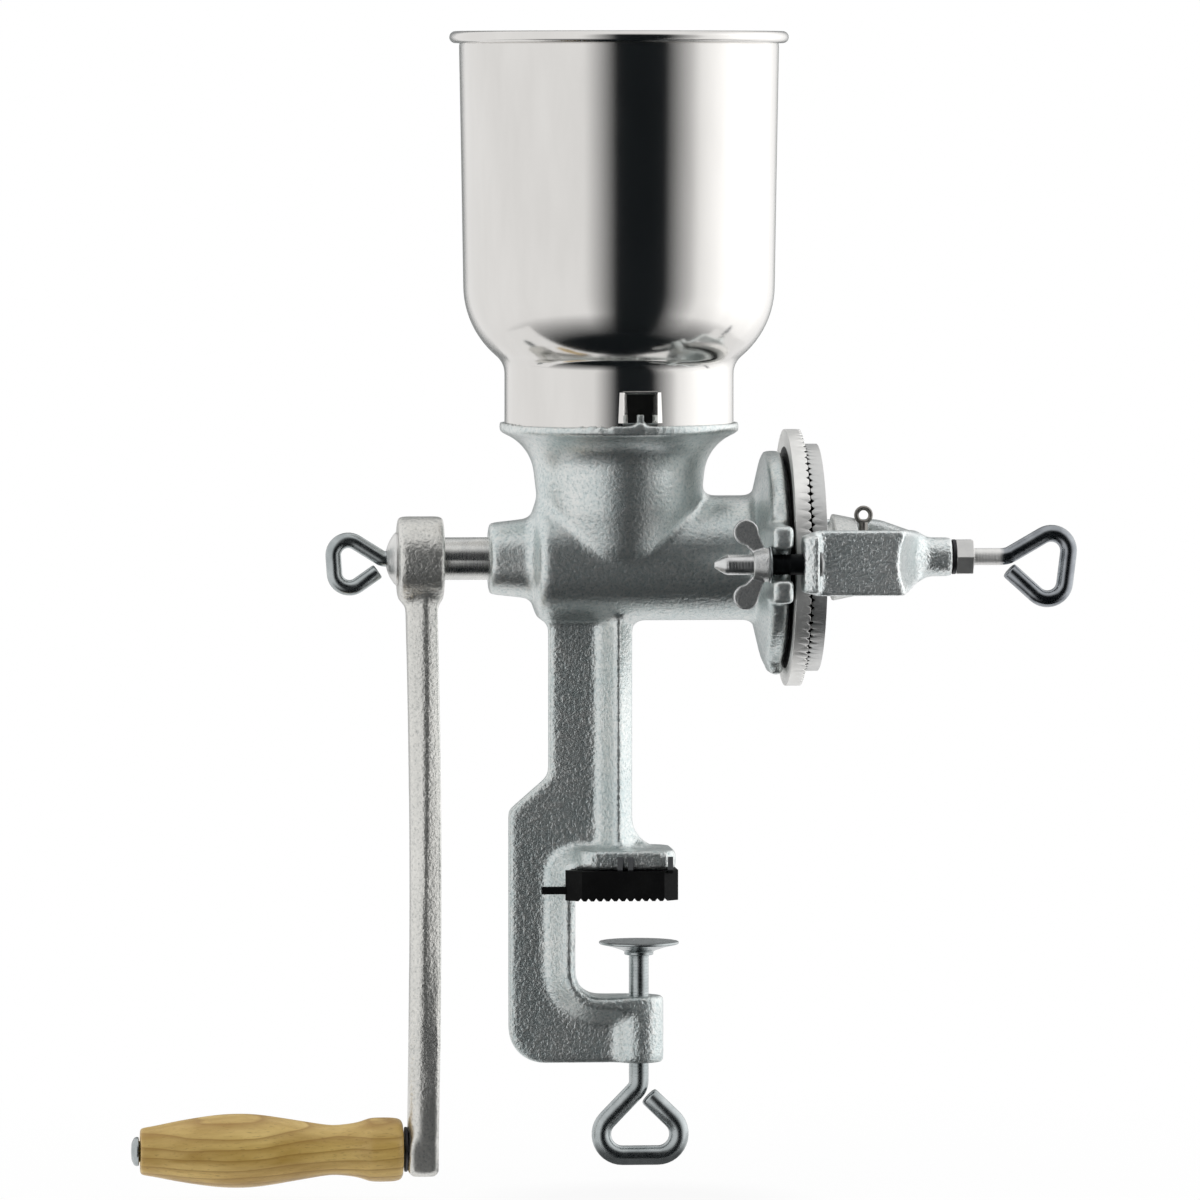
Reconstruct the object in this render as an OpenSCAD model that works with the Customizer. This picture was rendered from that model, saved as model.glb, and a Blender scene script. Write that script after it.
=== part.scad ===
// Hand grain mill with a table clamp, in millimetres, +Z up.
// The origin is the middle of the table pad's underside.
// The shaft runs along +X from the crank to the grinding plates.

/* [Shaft line] */
// Height of the shaft axis above the table pad's underside
axis_height = 136; // [128:0.5:150]
// Diameter of the shaft in its bearing
shaft_d = 17; // [15:0.5:18]
// Radius of the ball between the shaft's end and the adjusting screw
ball_r = 4; // [3.5:0.1:4.5]
// Place of the ball's centre along the shaft
ball_x = 105.5; // [103:0.5:108]

/* [Barrel] */
// Outside diameter of the barrel
barrel_d = 50; // [48:0.5:56]
// Bore of the barrel
barrel_bore_d = 43; // [40:0.5:44]
// Place of the barrel's crank end
barrel_end_x = -35.4; // [-41:0.2:-33]
// Length of the bearing boss
boss_length = 17; // [12:0.5:22]
// Diameter of the bearing boss at its free end
boss_d = 28.6; // [26:0.2:32]
// Place of the flange's face
flange_face_x = 65; // [62:0.5:68]
// Thickness of the flange's rim
flange_rim = 7; // [5:0.5:9]
// Diameter of the flange
flange_d = 85.6; // [80:0.2:92]

/* [Throat] */
// Diameter of the throat at its waist
throat_d = 68; // [64:0.5:74]
// Height of the throat's top rim
throat_top = 191.2; // [186:0.2:198]
// Diameter of the throat's top rim
throat_rim_d = 96; // [94.6:0.2:100]
// Depth of the seat that takes the hopper's neck
seat_depth = 4; // [3:0.2:5]

/* [Hopper] */
// Outside diameter of the hopper's neck
neck_d = 91.5; // [86:0.5:92]
// Outside diameter of the hopper's wall below the lip
hopper_d = 127.6; // [122:0.4:136]
// Height of the hopper's top above the throat's rim
hopper_height = 155.2; // [130:0.2:170]
// Thickness of the hopper's sheet
sheet_t = 0.9; // [0.7:0.1:1.3]
// Diameter of the rolled lip
lip_d = 4.8; // [4:0.2:6]
// Width of the notch in the hopper's neck
notch_w = 13.8; // [10:0.2:18]
// Height of the notch above the throat's rim
notch_h = 12.4; // [8:0.2:14]

/* [Grinding plates] */
// Diameter of the fixed plate
fixed_plate_d = 102.8; // [98:0.2:103]
// Diameter of the turning plate
turning_plate_d = 91; // [84:0.5:93]
// Thickness of each plate
plate_t = 6; // [5:0.1:7]
// Gap between the plates
plate_gap = 1; // [0.9:0.1:2]
// Height of the seat ring behind the fixed plate
seat_ring_t = 1.4; // [1:0.1:2]
// Number of radial grooves in each plate
groove_count = 84; // [60:4:96]
// Depth of the grooves
groove_depth = 1.2; // [0.8:0.1:1.6]

/* [Bridge] */
// Height of the bridge's legs
leg_height = 26; // [20:0.2:28]
// Thickness of the bridge's legs
leg_t = 6; // [5:0.2:7]
// How far the bridge's legs stand in over the fixed plate's edge
leg_overlap = 3.9; // [2.4:0.1:4.4]
// Place of the bridge's outer face
bridge_face_x = 121; // [119:0.2:124]
// Length of the bridge's hub beyond its outer face
hub_length = 13; // [11:0.2:16]
// How far the bridge bolts stand out from the fixed plate's edge
bolt_out = 7.4; // [6.6:0.1:9]
// Diameter of the bridge bolts
bolt_d = 8.2; // [6:0.2:8.6]
// Length of the bridge bolts under the head
bolt_length = 41.5; // [36:0.5:46]

/* [Adjusting screw] */
// Diameter of the adjusting screw's wire
adjust_d = 6.8; // [6:0.1:7.4]
// Thickness of the lock washer
lock_washer_t = 1.3; // [1:0.1:2.4]
// Thickness of the lock nut
lock_nut_t = 7; // [5:0.2:8]
// Width of the lock nut across its corners
lock_nut_d = 15.6; // [13:0.2:17]

/* [Crank] */
// Distance from the shaft to the grip's pin
crank_radius = 236.8; // [200:0.4:250]
// Diameter of the crank's hub
crank_hub_d = 34; // [30:0.5:38]
// Length of the crank's hub
crank_hub_length = 18.4; // [16:0.2:22]
// Bare length of shaft between the boss and the crank's hub
shaft_show = 18; // [12:0.5:22]
// Thickness of the crank arm along the shaft
arm_t = 12.4; // [10:0.2:14]
// Width of the crank arm near its hub
arm_w = 20; // [16:0.5:24]
// Thickness of the crank screw's washer
crank_washer_t = 4.8; // [3:0.2:5.4]
// Diameter of the crank screw's wire
crank_screw_d = 6.2; // [5.4:0.1:6.8]

/* [Grip] */
// Length of the wooden grip
grip_length = 105.6; // [90:0.2:120]
// Largest diameter of the grip
grip_d = 29.8; // [26:0.2:33]
// Diameter of the grip's pin
grip_pin_d = 8; // [6:0.2:9]
// Thickness of the grip's washer
grip_washer_t = 1.1; // [0.8:0.1:1.6]

/* [Leg and clamp] */
// Thickness of the rubber table pad
pad_t = 12; // [9:0.2:14]
// Length of the table pad along the shaft's direction
pad_length = 45; // [41:0.5:47]
// Width of the jaw above the table pad
jaw_w = 38; // [34:0.5:40]
// Thickness of the jaw
jaw_t = 8; // [6:0.2:10]
// Place of the clamp frame's inner wall
frame_inner_x = -18; // [-22:0.2:-16]
// Depth of the clamp frame's wall
frame_wall = 26.4; // [22:0.2:30]
// Clear height of the clamp frame below the table pad
frame_gap = 39.4; // [34:0.2:46]
// Height of the frame's lower arm
lower_arm_h = 27; // [22:0.5:30]
// Thickness of the casting's flat web
web_t = 8; // [6:0.5:10]
// Width of the ribs along the web's edges
rib_w = 25; // [22:0.5:28]
// Place of the clamp screw's axis
clamp_x = 8; // [6:0.2:10]
// Diameter of the clamp screw's wire
clamp_d = 7.9; // [7:0.1:8.6]
// Diameter of the clamp screw's pad
clamp_pad_d = 32; // [28:0.5:36]
// Gap left for the table top
table_gap = 17.8; // [14:0.2:22]

/* [Fits] */
// Radial clearance of turning shafts, pins and threads
running_fit = 0.08; // [0.03:0.01:0.1]
// Clearance between separate pieces
body_gap = 0.35; // [0.3:0.05:0.5]

/* [Hidden] */
$fn = 64;

cast_tin = [0.62, 0.63, 0.62];
plate_grey = [0.56, 0.57, 0.57];
zinc = [0.74, 0.74, 0.73];
bright_steel = [0.8, 0.79, 0.77];
black_steel = [0.09, 0.09, 0.1];
black_rubber = [0.05, 0.05, 0.05];
beech = [0.72, 0.56, 0.3];

// Barrel, boss and flange
barrel_r = barrel_d / 2;
barrel_bevel = 2;
barrel_dish = 2;
boss_x = barrel_end_x - boss_length;
boss_taper = 1.9;
flange_back_x = flange_face_x - flange_rim;
flange_cone = 4.4;
flange_r = flange_d / 2;
lip_h = 3.9;
lip_w = 24;
lip_t = 5.4;
lip_root = 6;
bolt_y = fixed_plate_d / 2 + bolt_out;
fork_t = 8.5;
fork_x = flange_face_x - 1 - fork_t;
fork_h = 15.5;
fork_slot = bolt_d / 2 + 1.9;
fork_edge = 8;
fork_root = 8;
dimple_d = 2.4;

// Throat and its seat
throat_r = throat_d / 2;
throat_rim_r = throat_rim_d / 2;
flare_r = 18.6;
waist_drop = 22.7;
waist_z = throat_top - waist_drop;
throat_wall = 4;
seat_z = throat_top - seat_depth;
seat_r = neck_d / 2 + body_gap;
seat_ledge = 5.5;
belly_z = axis_height + 4;
belly_drop = 18;
belly_in = 16;
belly_side = 6.4;
belly_rise = 16;
belly_shoulder = 1.6;
notch_mid = 4.8;
peg_w = 2.8;
peg_h = 3.6;
peg_depth = 4;

// Hopper profile
neck_r = neck_d / 2;
hopper_r = hopper_d / 2;
hopper_taper = 1.6;
hopper_base = seat_z + 0.02;
neck_show = 18.6;
shoulder_z = throat_top + neck_show;
shoulder_turn = 50;
shoulder_sum = (hopper_r - hopper_taper - neck_r) / (1 - cos(shoulder_turn));
hollow_share = 0.2;
hollow_r = shoulder_sum * hollow_share;
round_r = shoulder_sum - hollow_r;
round_z = shoulder_z + shoulder_sum * sin(shoulder_turn);
hopper_top = throat_top + hopper_height;
lip_z = hopper_top - lip_d / 2;
fold_d = 2.2;

// Plates
fixed_x = flange_face_x + seat_ring_t;
fixed_face_x = fixed_x + plate_t;
turning_face_x = fixed_face_x + plate_gap;
turning_back_x = turning_face_x + plate_t;
plate_hole_r = barrel_bore_d / 2 + 0.5;
groove_in_r = 28;
seat_ring_r = 36;
groove_w = 1.9;
driver_neck = 6;
driver_t = 9.8;
driver_r = 17.5;
driver_x = turning_back_x + driver_neck;
cotter_x = driver_x + driver_t + 3.1;
cotter_d = 3.6;
cotter_wire = 1.9;
cotter_eye_r = 2.85;
cotter_up = 14;
cotter_down = 13;
shaft_end_x = ball_x - ball_r / 2;
shaft_start_x = boss_x - shaft_show - crank_hub_length + 0.8;

// Worm
worm_x = barrel_end_x + 9;
worm_end_x = flange_face_x - 3;
worm_r = barrel_bore_d / 2 - 0.8;
worm_core_r = shaft_d / 2 + 1.5;
worm_pitch = 30;
worm_tip_w = 4;
worm_twist = -360 * (worm_end_x - worm_x) / worm_pitch;

// Bridge
leg_in = fixed_plate_d / 2 - leg_overlap;
leg_out = leg_in + leg_t;
bridge_t = 6;
bridge_rise = 11.4;
bridge_end_h = 9;
bridge_flat = 9;
shoulder_x = bridge_face_x - bridge_rise;
slant_y = leg_out - bridge_flat;
slant_length = norm([bridge_rise, slant_y]);
slant_turn = atan2(slant_y, -bridge_rise);
scoop_r = 27;
scoop_depth = 2.6;
hub_r = 7.9;
hub_root_r = 11;
hub_step = 3;
hub_end_x = bridge_face_x + hub_length;
hub_start_x = ball_x + ball_r + 4.1;
ear_x = fixed_x + 1.4;
ear_end_x = fixed_face_x + 2;
ear_h = 11.6;
ear_draft = 2.4;
ear_in = fixed_plate_d / 2 + 0.4;
ear_out = bolt_y + 8.4;
head_r = bolt_y - leg_out - 0.4;
head_t = 2.4;
bolt_tip = 4.6;
bolt_tip_r = 1.2;
bolt_end_x = ear_end_x - bolt_length;

// Wing nuts
wing_washer_t = 0.8;
wing_washer_r = 7.4;
wing_hub_t = 6.4;
wing_hub_r = 7;
wing_t = 3;
wing_reach = 12.8;
wing_lobe_r = 5;
wing_lean = 5.6;

// Adjusting screw
tip_x = ball_x + ball_r + 0.05;
adjust_show = 11.7;
adjust_bend_x = hub_end_x + lock_washer_t + lock_nut_t + adjust_show;
adjust_kink = 30;
adjust_kink_r = 8;
adjust_out = 14.5;
adjust_turn = 127;
adjust_bend_r = 7;
adjust_back = 12.4;
adjust_close = 125;
adjust_tail = 14.8;

// Crank
hub_x = boss_x - shaft_show;
hub_left_x = hub_x - crank_hub_length;
arm_x = hub_x - crank_hub_length / 2;
pin_z = axis_height - crank_radius;
arm_end_x = arm_x + 0.7;
arm_bow = 1.6;
arm_end_w = 17;
arm_ridge = 2.7;
ridge_crest = 0.2;
ridge_start = 0.13;
ridge_drift = 0.35;
flat_start = 0.6;
flat_end = 0.92;
arm_top_z = axis_height - 9;
block_half = 9;
block_rise = 3;
block_drop = 10.4;
block_corner = 1.5;
crank_washer_r = 10.5;
washer_edge = 0.8;
washer_dome = crank_washer_t - washer_edge;
washer_ball_r = (crank_washer_r * crank_washer_r + washer_dome * washer_dome) / (2 * washer_dome);
crank_thread = 14;
crank_tip = 1;
crank_show = 0.1;
crank_kink = 32;
crank_kink_r = crank_screw_d / 2 + 0.4;
crank_out = 11.4;
crank_turn = 126;
crank_bend_r = 6;
crank_back = 7;
crank_close = 121;
crank_tail = 9.7;
crank_screw_x = shaft_start_x + crank_thread - crank_tip;

// Grip
arm_left_x = arm_end_x - arm_t / 2;
grip_right_x = arm_left_x - grip_washer_t - body_gap;
grip_left_x = grip_right_x - grip_length;
grip_washer_r = 9;
pin_head_t = 3.2;
pin_head_r = 6;
grip_bore_r = grip_pin_d / 2 + running_fit;

// Bent wire: how far straights run into bends, and how much a bend swells
bend_lap = 0.2;
bend_swell = 0.06;

// Leg, jaw and clamp
jaw_z = pad_t;
jaw_top = jaw_z + jaw_t;
jaw_right = 22;
jaw_round = 8;
frame_outer_x = frame_inner_x - frame_wall;
frame_floor = -frame_gap;
frame_bottom = frame_floor - lower_arm_h;
frame_round = 10;
frame_corner = 14;
frame_rib = 10;
rib_crest = 3.4;
rib_fall = 2.4;
rib_step = 1.6;
leg_left_x = -28.4;
leg_rib_x = -8.7;
leg_right_x = 5.2;
rib_ridge_x = -1.2;
rib_ridge_w = 1.8;
leg_step_h = 37;
leg_step_end_h = 23;
leg_step_z = pad_t + leg_step_h;
leg_step_end_z = pad_t + leg_step_end_h;
leg_top_z = axis_height - 12;
jaw_fillet = 12;
lower_boss_r = 10;
arm_taper_x = frame_inner_x + 6;
pad_over = 2.4;
pad_w = jaw_w + 2 * pad_over;
pad_corner = 6;
tooth_pitch = 3.06;
tooth_depth = 1.3;
tooth_land = 1.2;
tooth_count = 2 * floor((pad_length / 2 - tooth_land) / tooth_pitch);
hook_z = 2.5;
hook_h = 2.9;
hook_t = 3;
hook_reach = 14;
clip_h = 5.6;
clip_t = 2;
clip_w = 2;
clip_places = [-1.2, 3, 19];
clamp_pad_top = -table_gap;
clamp_pad_h = 5.4;
clamp_rim_t = 1.2;
clamp_cone_h = 2.8;
clamp_neck_r = 5.8;
clamp_tip_z = clamp_pad_top - 2.2;
clamp_pad_bottom = clamp_pad_top - clamp_pad_h;
clamp_show = 7.6;
clamp_bend_z = frame_bottom - clamp_show;
clamp_kink = 44;
clamp_kink_r = 6;
clamp_out = 15.8;
clamp_turn = 134;
clamp_bend_r = 8.5;
clamp_back = 14.2;
clamp_close = 136;
clamp_tail = 13.6;

// Turns a shape about +Z into one about the shaft axis
module about_shaft() translate([0, 0, axis_height]) rotate([0, 90, 0]) children();

// Lays a flat XY outline into the XZ plane, t thick about the mid plane
module upright(t) rotate([90, 0, 0]) translate([0, 0, -t / 2]) linear_extrude(t) children();

// Lays a flat XY outline across the shaft, from x to x + t
module across(x, t) translate([x, 0, axis_height]) rotate([90, 0, 90]) linear_extrude(t) children();

// A rod along +X between two places on the shaft axis
module rod(x0, x1, r) about_shaft() translate([0, 0, x0]) cylinder(h = x1 - x0, r = r);

// Headings and moves of a bent wire in the XZ plane
function ahead(h) = [cos(h), sin(h)];
function aside(h) = [-sin(h), cos(h)];
function bend_centre(s, m) = [s[0], s[1]] + m[0] * ahead(s[2]) + sign(m[1]) * m[2] * aside(s[2]);
function next_state(s, m) = let (p = bend_centre(s, m) - sign(m[1]) * m[2] * aside(s[2] + m[1]))
    [p[0], p[1], s[2] + m[1]];
function states(s, moves, i = 0) = i == len(moves) ? [s]
    : concat([s], states(next_state(s, moves[i]), moves, i + 1));

// A wire that goes ahead, then turns, once for each [length, turn, bend radius]
module wire(start, moves, d) {
    path = states(start, moves);
    for (i = [0 : len(moves) - 1]) {
        s = path[i];
        m = moves[i];
        back = i > 0 ? bend_lap : 0;
        front = m[1] != 0 ? bend_lap : 0;
        translate([s[0], 0, s[1]]) rotate([0, 90 - s[2], 0]) translate([0, 0, -back])
            cylinder(h = m[0] + back + front, d = d);
        if (m[1] != 0) {
            c = bend_centre(s, m);
            from = m[1] > 0 ? s[2] - 90 : s[2] + 90 + m[1];
            translate([c[0], 0, c[1]]) rotate([90, 0, 0]) rotate([0, 0, from])
                rotate_extrude(angle = abs(m[1])) translate([m[2], 0]) circle(d = d + bend_swell);
        }
    }
}

// Outline of the clamp frame's opening
module frame_opening() {
    r = frame_round;
    translate([frame_inner_x + r, frame_floor])
        square([2 * (clamp_x - frame_inner_x), jaw_z - frame_floor]);
    translate([frame_inner_x, frame_floor + r]) square([r + 1, jaw_z - frame_floor - r]);
    translate([frame_inner_x + r, frame_floor + r]) circle(r);
}

// Outline of the whole leg and clamp frame, without the opening
module frame_outline() {
    difference() {
        polygon([
            [leg_left_x, leg_top_z], [leg_left_x, leg_step_z], [frame_outer_x, leg_step_end_z],
            [frame_outer_x, frame_bottom], [clamp_x, frame_bottom], [clamp_x, jaw_top],
            [leg_right_x, jaw_top], [leg_right_x, leg_top_z]
        ]);
        translate([frame_outer_x, frame_bottom]) difference() {
            square(frame_corner);
            translate([frame_corner, frame_corner]) circle(frame_corner);
        }
    }
}

// Half plan of the leg's rib, sloped on both sides up to a narrow ridge
module leg_rib() {
    polygon([
        [leg_rib_x, 0], [leg_rib_x, -web_t / 2], [rib_ridge_x - rib_ridge_w / 2, -rib_w / 2],
        [rib_ridge_x + rib_ridge_w / 2, -rib_w / 2], [leg_right_x, -web_t / 2], [leg_right_x, 0]
    ]);
}

// Section of the clamp frame's rib, from its opening outwards: a crest, then a slope down to the web
module rib_section() {
    polygon([
        [0, -rib_w / 2 + rib_fall], [rib_crest, -rib_w / 2], [frame_rib, -web_t / 2 - rib_step],
        [frame_rib, web_t / 2 + rib_step], [rib_crest, rib_w / 2], [0, rib_w / 2 - rib_fall]
    ]);
}

// The rib round the clamp frame: from the jaw down the back and along the lower arm
module frame_ring() {
    x = frame_inner_x + frame_round;
    z = frame_floor + frame_round;
    top = jaw_top - frame_rib;
    translate([frame_inner_x, 0, top]) rotate([90, 0, 0]) rotate([0, 0, 90])
        rotate_extrude(angle = 90) rib_section();
    translate([frame_inner_x, 0, z]) mirror([1, 0, 0]) linear_extrude(top - z) rib_section();
    translate([x, 0, z]) rotate([90, 0, 0]) rotate([0, 0, 180])
        rotate_extrude(angle = 90) translate([frame_round, 0]) rib_section();
    translate([x, 0, frame_floor]) rotate([0, 90, 0]) linear_extrude(clamp_x - x) rib_section();
}

module fork() {
    difference() {
        intersection() {
            circle(bolt_y + fork_edge);
            translate([flange_r - fork_root, -fork_h]) square([bolt_y, 2 * fork_h]);
        }
        translate([bolt_y, -fork_slot]) square([bolt_y, 2 * fork_slot]);
        translate([bolt_y, 0]) circle(fork_slot);
    }
}

module mill_body() {
    color(cast_tin) difference() {
        union() {
            about_shaft() rotate_extrude() polygon([
                [0, boss_x], [boss_d / 2, boss_x], [boss_d / 2 + boss_taper, barrel_end_x],
                [barrel_r - barrel_bevel, barrel_end_x + barrel_dish],
                [barrel_r, barrel_end_x + barrel_dish + barrel_bevel],
                [barrel_r, flange_back_x - flange_cone], [flange_r, flange_back_x],
                [flange_r, flange_face_x], [0, flange_face_x]
            ]);
            rotate_extrude() difference() {
                polygon([
                    [0, belly_z - belly_drop], [throat_r - belly_in, belly_z - belly_drop],
                    [throat_r - belly_side, belly_z], [throat_r - belly_shoulder, belly_z + belly_rise],
                    [throat_r, waist_z], [throat_rim_r, waist_z],
                    [throat_rim_r, throat_top], [0, throat_top]
                ]);
                translate([throat_r + flare_r, waist_z]) circle(flare_r);
            }
            across(fork_x, fork_t) fork();
            across(fork_x, fork_t) mirror([1, 0]) fork();
            translate([flange_face_x - lip_t, -lip_w / 2, axis_height - flange_r - lip_h])
                cube([lip_t, lip_w, lip_h + lip_root]);
            upright(web_t) difference() {
                frame_outline();
                frame_opening();
            }
            translate([0, 0, jaw_z]) linear_extrude(leg_top_z - jaw_z) {
                leg_rib();
                mirror([0, 1]) leg_rib();
            }
            upright(web_t) translate([leg_right_x, jaw_top]) difference() {
                square(jaw_fillet);
                translate([jaw_fillet, jaw_fillet]) circle(jaw_fillet);
            }
            intersection() {
                frame_ring();
                translate([0, 0, frame_bottom - 1]) linear_extrude(jaw_top - frame_bottom + 2) {
                    polygon([
                        [frame_outer_x, -rib_w / 2], [arm_taper_x, -rib_w / 2],
                        [clamp_x, -lower_boss_r], [clamp_x, lower_boss_r],
                        [arm_taper_x, rib_w / 2], [frame_outer_x, rib_w / 2]
                    ]);
                }
            }
            translate([0, 0, jaw_z]) linear_extrude(jaw_t) {
                translate([frame_inner_x, -jaw_w / 2 + jaw_round])
                    square([jaw_right - frame_inner_x, jaw_w - 2 * jaw_round]);
                translate([frame_inner_x + jaw_round, -jaw_w / 2])
                    square([jaw_right - frame_inner_x - 2 * jaw_round, jaw_w]);
                for (x = [frame_inner_x + jaw_round, jaw_right - jaw_round], s = [-1, 1])
                    translate([x, s * (jaw_w / 2 - jaw_round)]) circle(jaw_round);
            }
            translate([clamp_x, 0, frame_bottom]) cylinder(h = lower_arm_h, r = lower_boss_r);
        }
        rod(boss_x - 1, barrel_end_x + 9, shaft_d / 2 + running_fit);
        rod(barrel_end_x + 6, flange_face_x + 1, barrel_bore_d / 2);
        rotate_extrude() polygon([
            [0, axis_height], [barrel_bore_d / 2 - 1.5, axis_height],
            [throat_r - throat_wall - belly_side + 1, belly_z + 4],
            [throat_r - throat_wall - belly_shoulder - 0.6, belly_z + belly_rise - 2],
            [throat_r - throat_wall, waist_z + 4], [seat_r - seat_ledge, seat_z],
            [seat_r, seat_z], [seat_r, throat_top + 1], [0, throat_top + 1]
        ]);
        translate([clamp_x, 0, frame_bottom - 1])
            cylinder(h = lower_arm_h + 2, r = clamp_d / 2 + running_fit);
        translate([fork_x + fork_t / 2, -bolt_y + 2, axis_height + fork_slot + 3])
            rotate([90, 0, 0]) cylinder(h = fork_edge, d = dimple_d);
    }
    color(cast_tin) translate([notch_mid, 0, seat_z - 0.5]) intersection() {
        translate([-peg_w / 2, -seat_r - 1, 0]) cube([peg_w, peg_depth, seat_depth + peg_h + 0.5]);
        cylinder(h = seat_depth + peg_h + 2, r = seat_r + 1);
    }
}

// Half profile of the hopper's sheet, t inside its outer face
function sheet_line(t) = concat(
    [[neck_r - t, hopper_base]],
    [for (i = [0 : 8]) let (a = shoulder_turn * i / 8)
        [neck_r + hollow_r - (hollow_r + t) * cos(a), shoulder_z + (hollow_r + t) * sin(a)]],
    [for (i = [8 : -1 : 0]) let (a = shoulder_turn * i / 8)
        [hopper_r - hopper_taper - round_r + (round_r - t) * cos(a), round_z - (round_r - t) * sin(a)]],
    [[hopper_r - t, lip_z]]
);
function reversed(v) = [for (i = [len(v) - 1 : -1 : 0]) v[i]];

module hopper() {
    notch_top = throat_top + notch_h;
    notch_left = notch_mid - notch_w / 2;
    notch_right = notch_mid + notch_w / 2;
    color(bright_steel) {
        difference() {
            rotate_extrude($fn = 128) union() {
                polygon(concat(sheet_line(0), reversed(sheet_line(sheet_t))));
                translate([hopper_r - sheet_t + lip_d / 2, lip_z]) circle(d = lip_d);
            }
            translate([notch_left, -neck_r - 2, hopper_base - 1])
                cube([notch_w, neck_r, notch_top - hopper_base + 1]);
        }
        for (x = [notch_left, notch_right])
            translate([x, -sqrt(pow(neck_r - 0.3, 2) - x * x), throat_top + body_gap])
                cylinder(h = notch_top - throat_top - body_gap, d = fold_d);
    }
}

module table_pad() {
    half = pad_length / 2;
    first = -(floor(tooth_count / 2) * tooth_pitch + tooth_land / 2);
    teeth = [for (i = [0 : tooth_count - 1]) let (x = first + i * tooth_pitch)
        each [[x + tooth_land, 0], [x + (tooth_pitch + tooth_land) / 2, tooth_depth], [x + tooth_pitch, 0]]];
    color(black_rubber) union() {
        intersection() {
            upright(pad_w + 2) polygon(concat(
                [[-half, pad_t], [-half, 0]], teeth, [[half, 0], [half, pad_t]]));
            difference() {
                linear_extrude(pad_t) polygon([
                    [-half, -pad_w / 2 + pad_corner], [-half + pad_corner, -pad_w / 2],
                    [half - pad_corner, -pad_w / 2], [half, -pad_w / 2 + pad_corner],
                    [half, pad_w / 2 - pad_corner], [half - pad_corner, pad_w / 2],
                    [-half + pad_corner, pad_w / 2], [-half, pad_w / 2 - pad_corner]
                ]);
                translate([-half - 1, -rib_w / 2 - body_gap, -1])
                    cube([half + 1 + frame_inner_x + body_gap, rib_w + 2 * body_gap, pad_t + 2]);
            }
        }
        for (s = [-1, 1]) {
            translate([
                frame_inner_x - hook_reach, s * (rib_w / 2 + body_gap + hook_t / 2) - hook_t / 2, hook_z
            ])
                cube([hook_reach + 2, hook_t, hook_h]);
            for (x = clip_places)
                translate([x - clip_w / 2, s * (jaw_w / 2 + body_gap + clip_t / 2) - clip_t / 2, pad_t - 1])
                    cube([clip_w, clip_t, clip_h + 1]);
        }
    }
}

module clamp_pad() {
    color(zinc) translate([clamp_x, 0, 0]) difference() {
        rotate_extrude() polygon([
            [0, clamp_pad_bottom], [clamp_neck_r, clamp_pad_bottom],
            [clamp_neck_r, clamp_pad_top - clamp_rim_t - clamp_cone_h],
            [clamp_pad_d / 2, clamp_pad_top - clamp_rim_t], [clamp_pad_d / 2, clamp_pad_top],
            [0, clamp_pad_top]
        ]);
        translate([0, 0, clamp_pad_bottom - 1])
            cylinder(h = clamp_tip_z - clamp_pad_bottom + 1.05, r = clamp_d / 2 + running_fit);
    }
}

module clamp_screw() {
    color(zinc) wire([clamp_x, clamp_tip_z, 270], [
        [clamp_tip_z - clamp_bend_z, -clamp_kink, clamp_kink_r], [clamp_out, clamp_turn, clamp_bend_r],
        [clamp_back, clamp_close, clamp_bend_r], [clamp_tail, 0, 0]
    ], clamp_d);
}

module auger() {
    color(zinc) difference() {
        union() {
            rod(shaft_start_x, shaft_end_x, shaft_d / 2);
            translate([worm_x, 0, axis_height]) rotate([0, 90, 0])
                linear_extrude(worm_end_x - worm_x, twist = worm_twist, slices = 42, $fn = 8)
                    union() {
                        circle(worm_core_r, $fn = 12);
                        polygon([[0, -3.5], [worm_r - 0.3, -worm_tip_w / 2], [worm_r, 0],
                            [worm_r - 0.3, worm_tip_w / 2], [0, 3.5]]);
                    }
        }
        about_shaft() translate([0, 0, ball_x]) sphere(ball_r + running_fit);
        rod(shaft_start_x - 1, shaft_start_x + crank_thread, crank_screw_d / 2 + running_fit);
        translate([cotter_x, 0, axis_height - shaft_d])
            cylinder(h = 2 * shaft_d, r = cotter_d / 2 + running_fit);
    }
}

// Radial grooves cut into a plate's face at x, to the side given by s
module grooves(x, s, r1) {
    over = 0.3;
    half = groove_w / 2 * (groove_depth + over) / groove_depth;
    for (i = [0 : groove_count - 1])
        translate([0, 0, axis_height]) rotate([(i + 0.5) * 360 / groove_count, 0, 0])
            translate([0, 0, groove_in_r]) linear_extrude(r1 - groove_in_r)
                polygon([[x + s * over, -half], [x + s * over, half], [x - s * groove_depth, 0]]);
}

module fixed_plate() {
    color(plate_grey) difference() {
        about_shaft() rotate_extrude() polygon([
            [plate_hole_r, flange_face_x], [seat_ring_r, flange_face_x], [seat_ring_r, fixed_x],
            [fixed_plate_d / 2, fixed_x], [fixed_plate_d / 2, fixed_face_x], [plate_hole_r, fixed_face_x]
        ]);
        grooves(fixed_face_x, 1, fixed_plate_d / 2 + 1);
    }
}

module turning_plate() {
    color(plate_grey) difference() {
        about_shaft() rotate_extrude() polygon([
            [shaft_d / 2 + running_fit, turning_face_x], [turning_plate_d / 2, turning_face_x],
            [turning_plate_d / 2, turning_back_x], [shaft_d / 2 + running_fit, turning_back_x]
        ]);
        grooves(turning_face_x, -1, turning_plate_d / 2 + 1);
    }
}

module plate_driver() {
    color(cast_tin) about_shaft() rotate_extrude() polygon([
        [shaft_d / 2 + running_fit, turning_back_x], [driver_r - 4.5, turning_back_x],
        [driver_r - 4.5, driver_x], [driver_r, driver_x], [driver_r - 2, driver_x + driver_t],
        [shaft_d / 2 + running_fit, driver_x + driver_t]
    ]);
}

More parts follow.
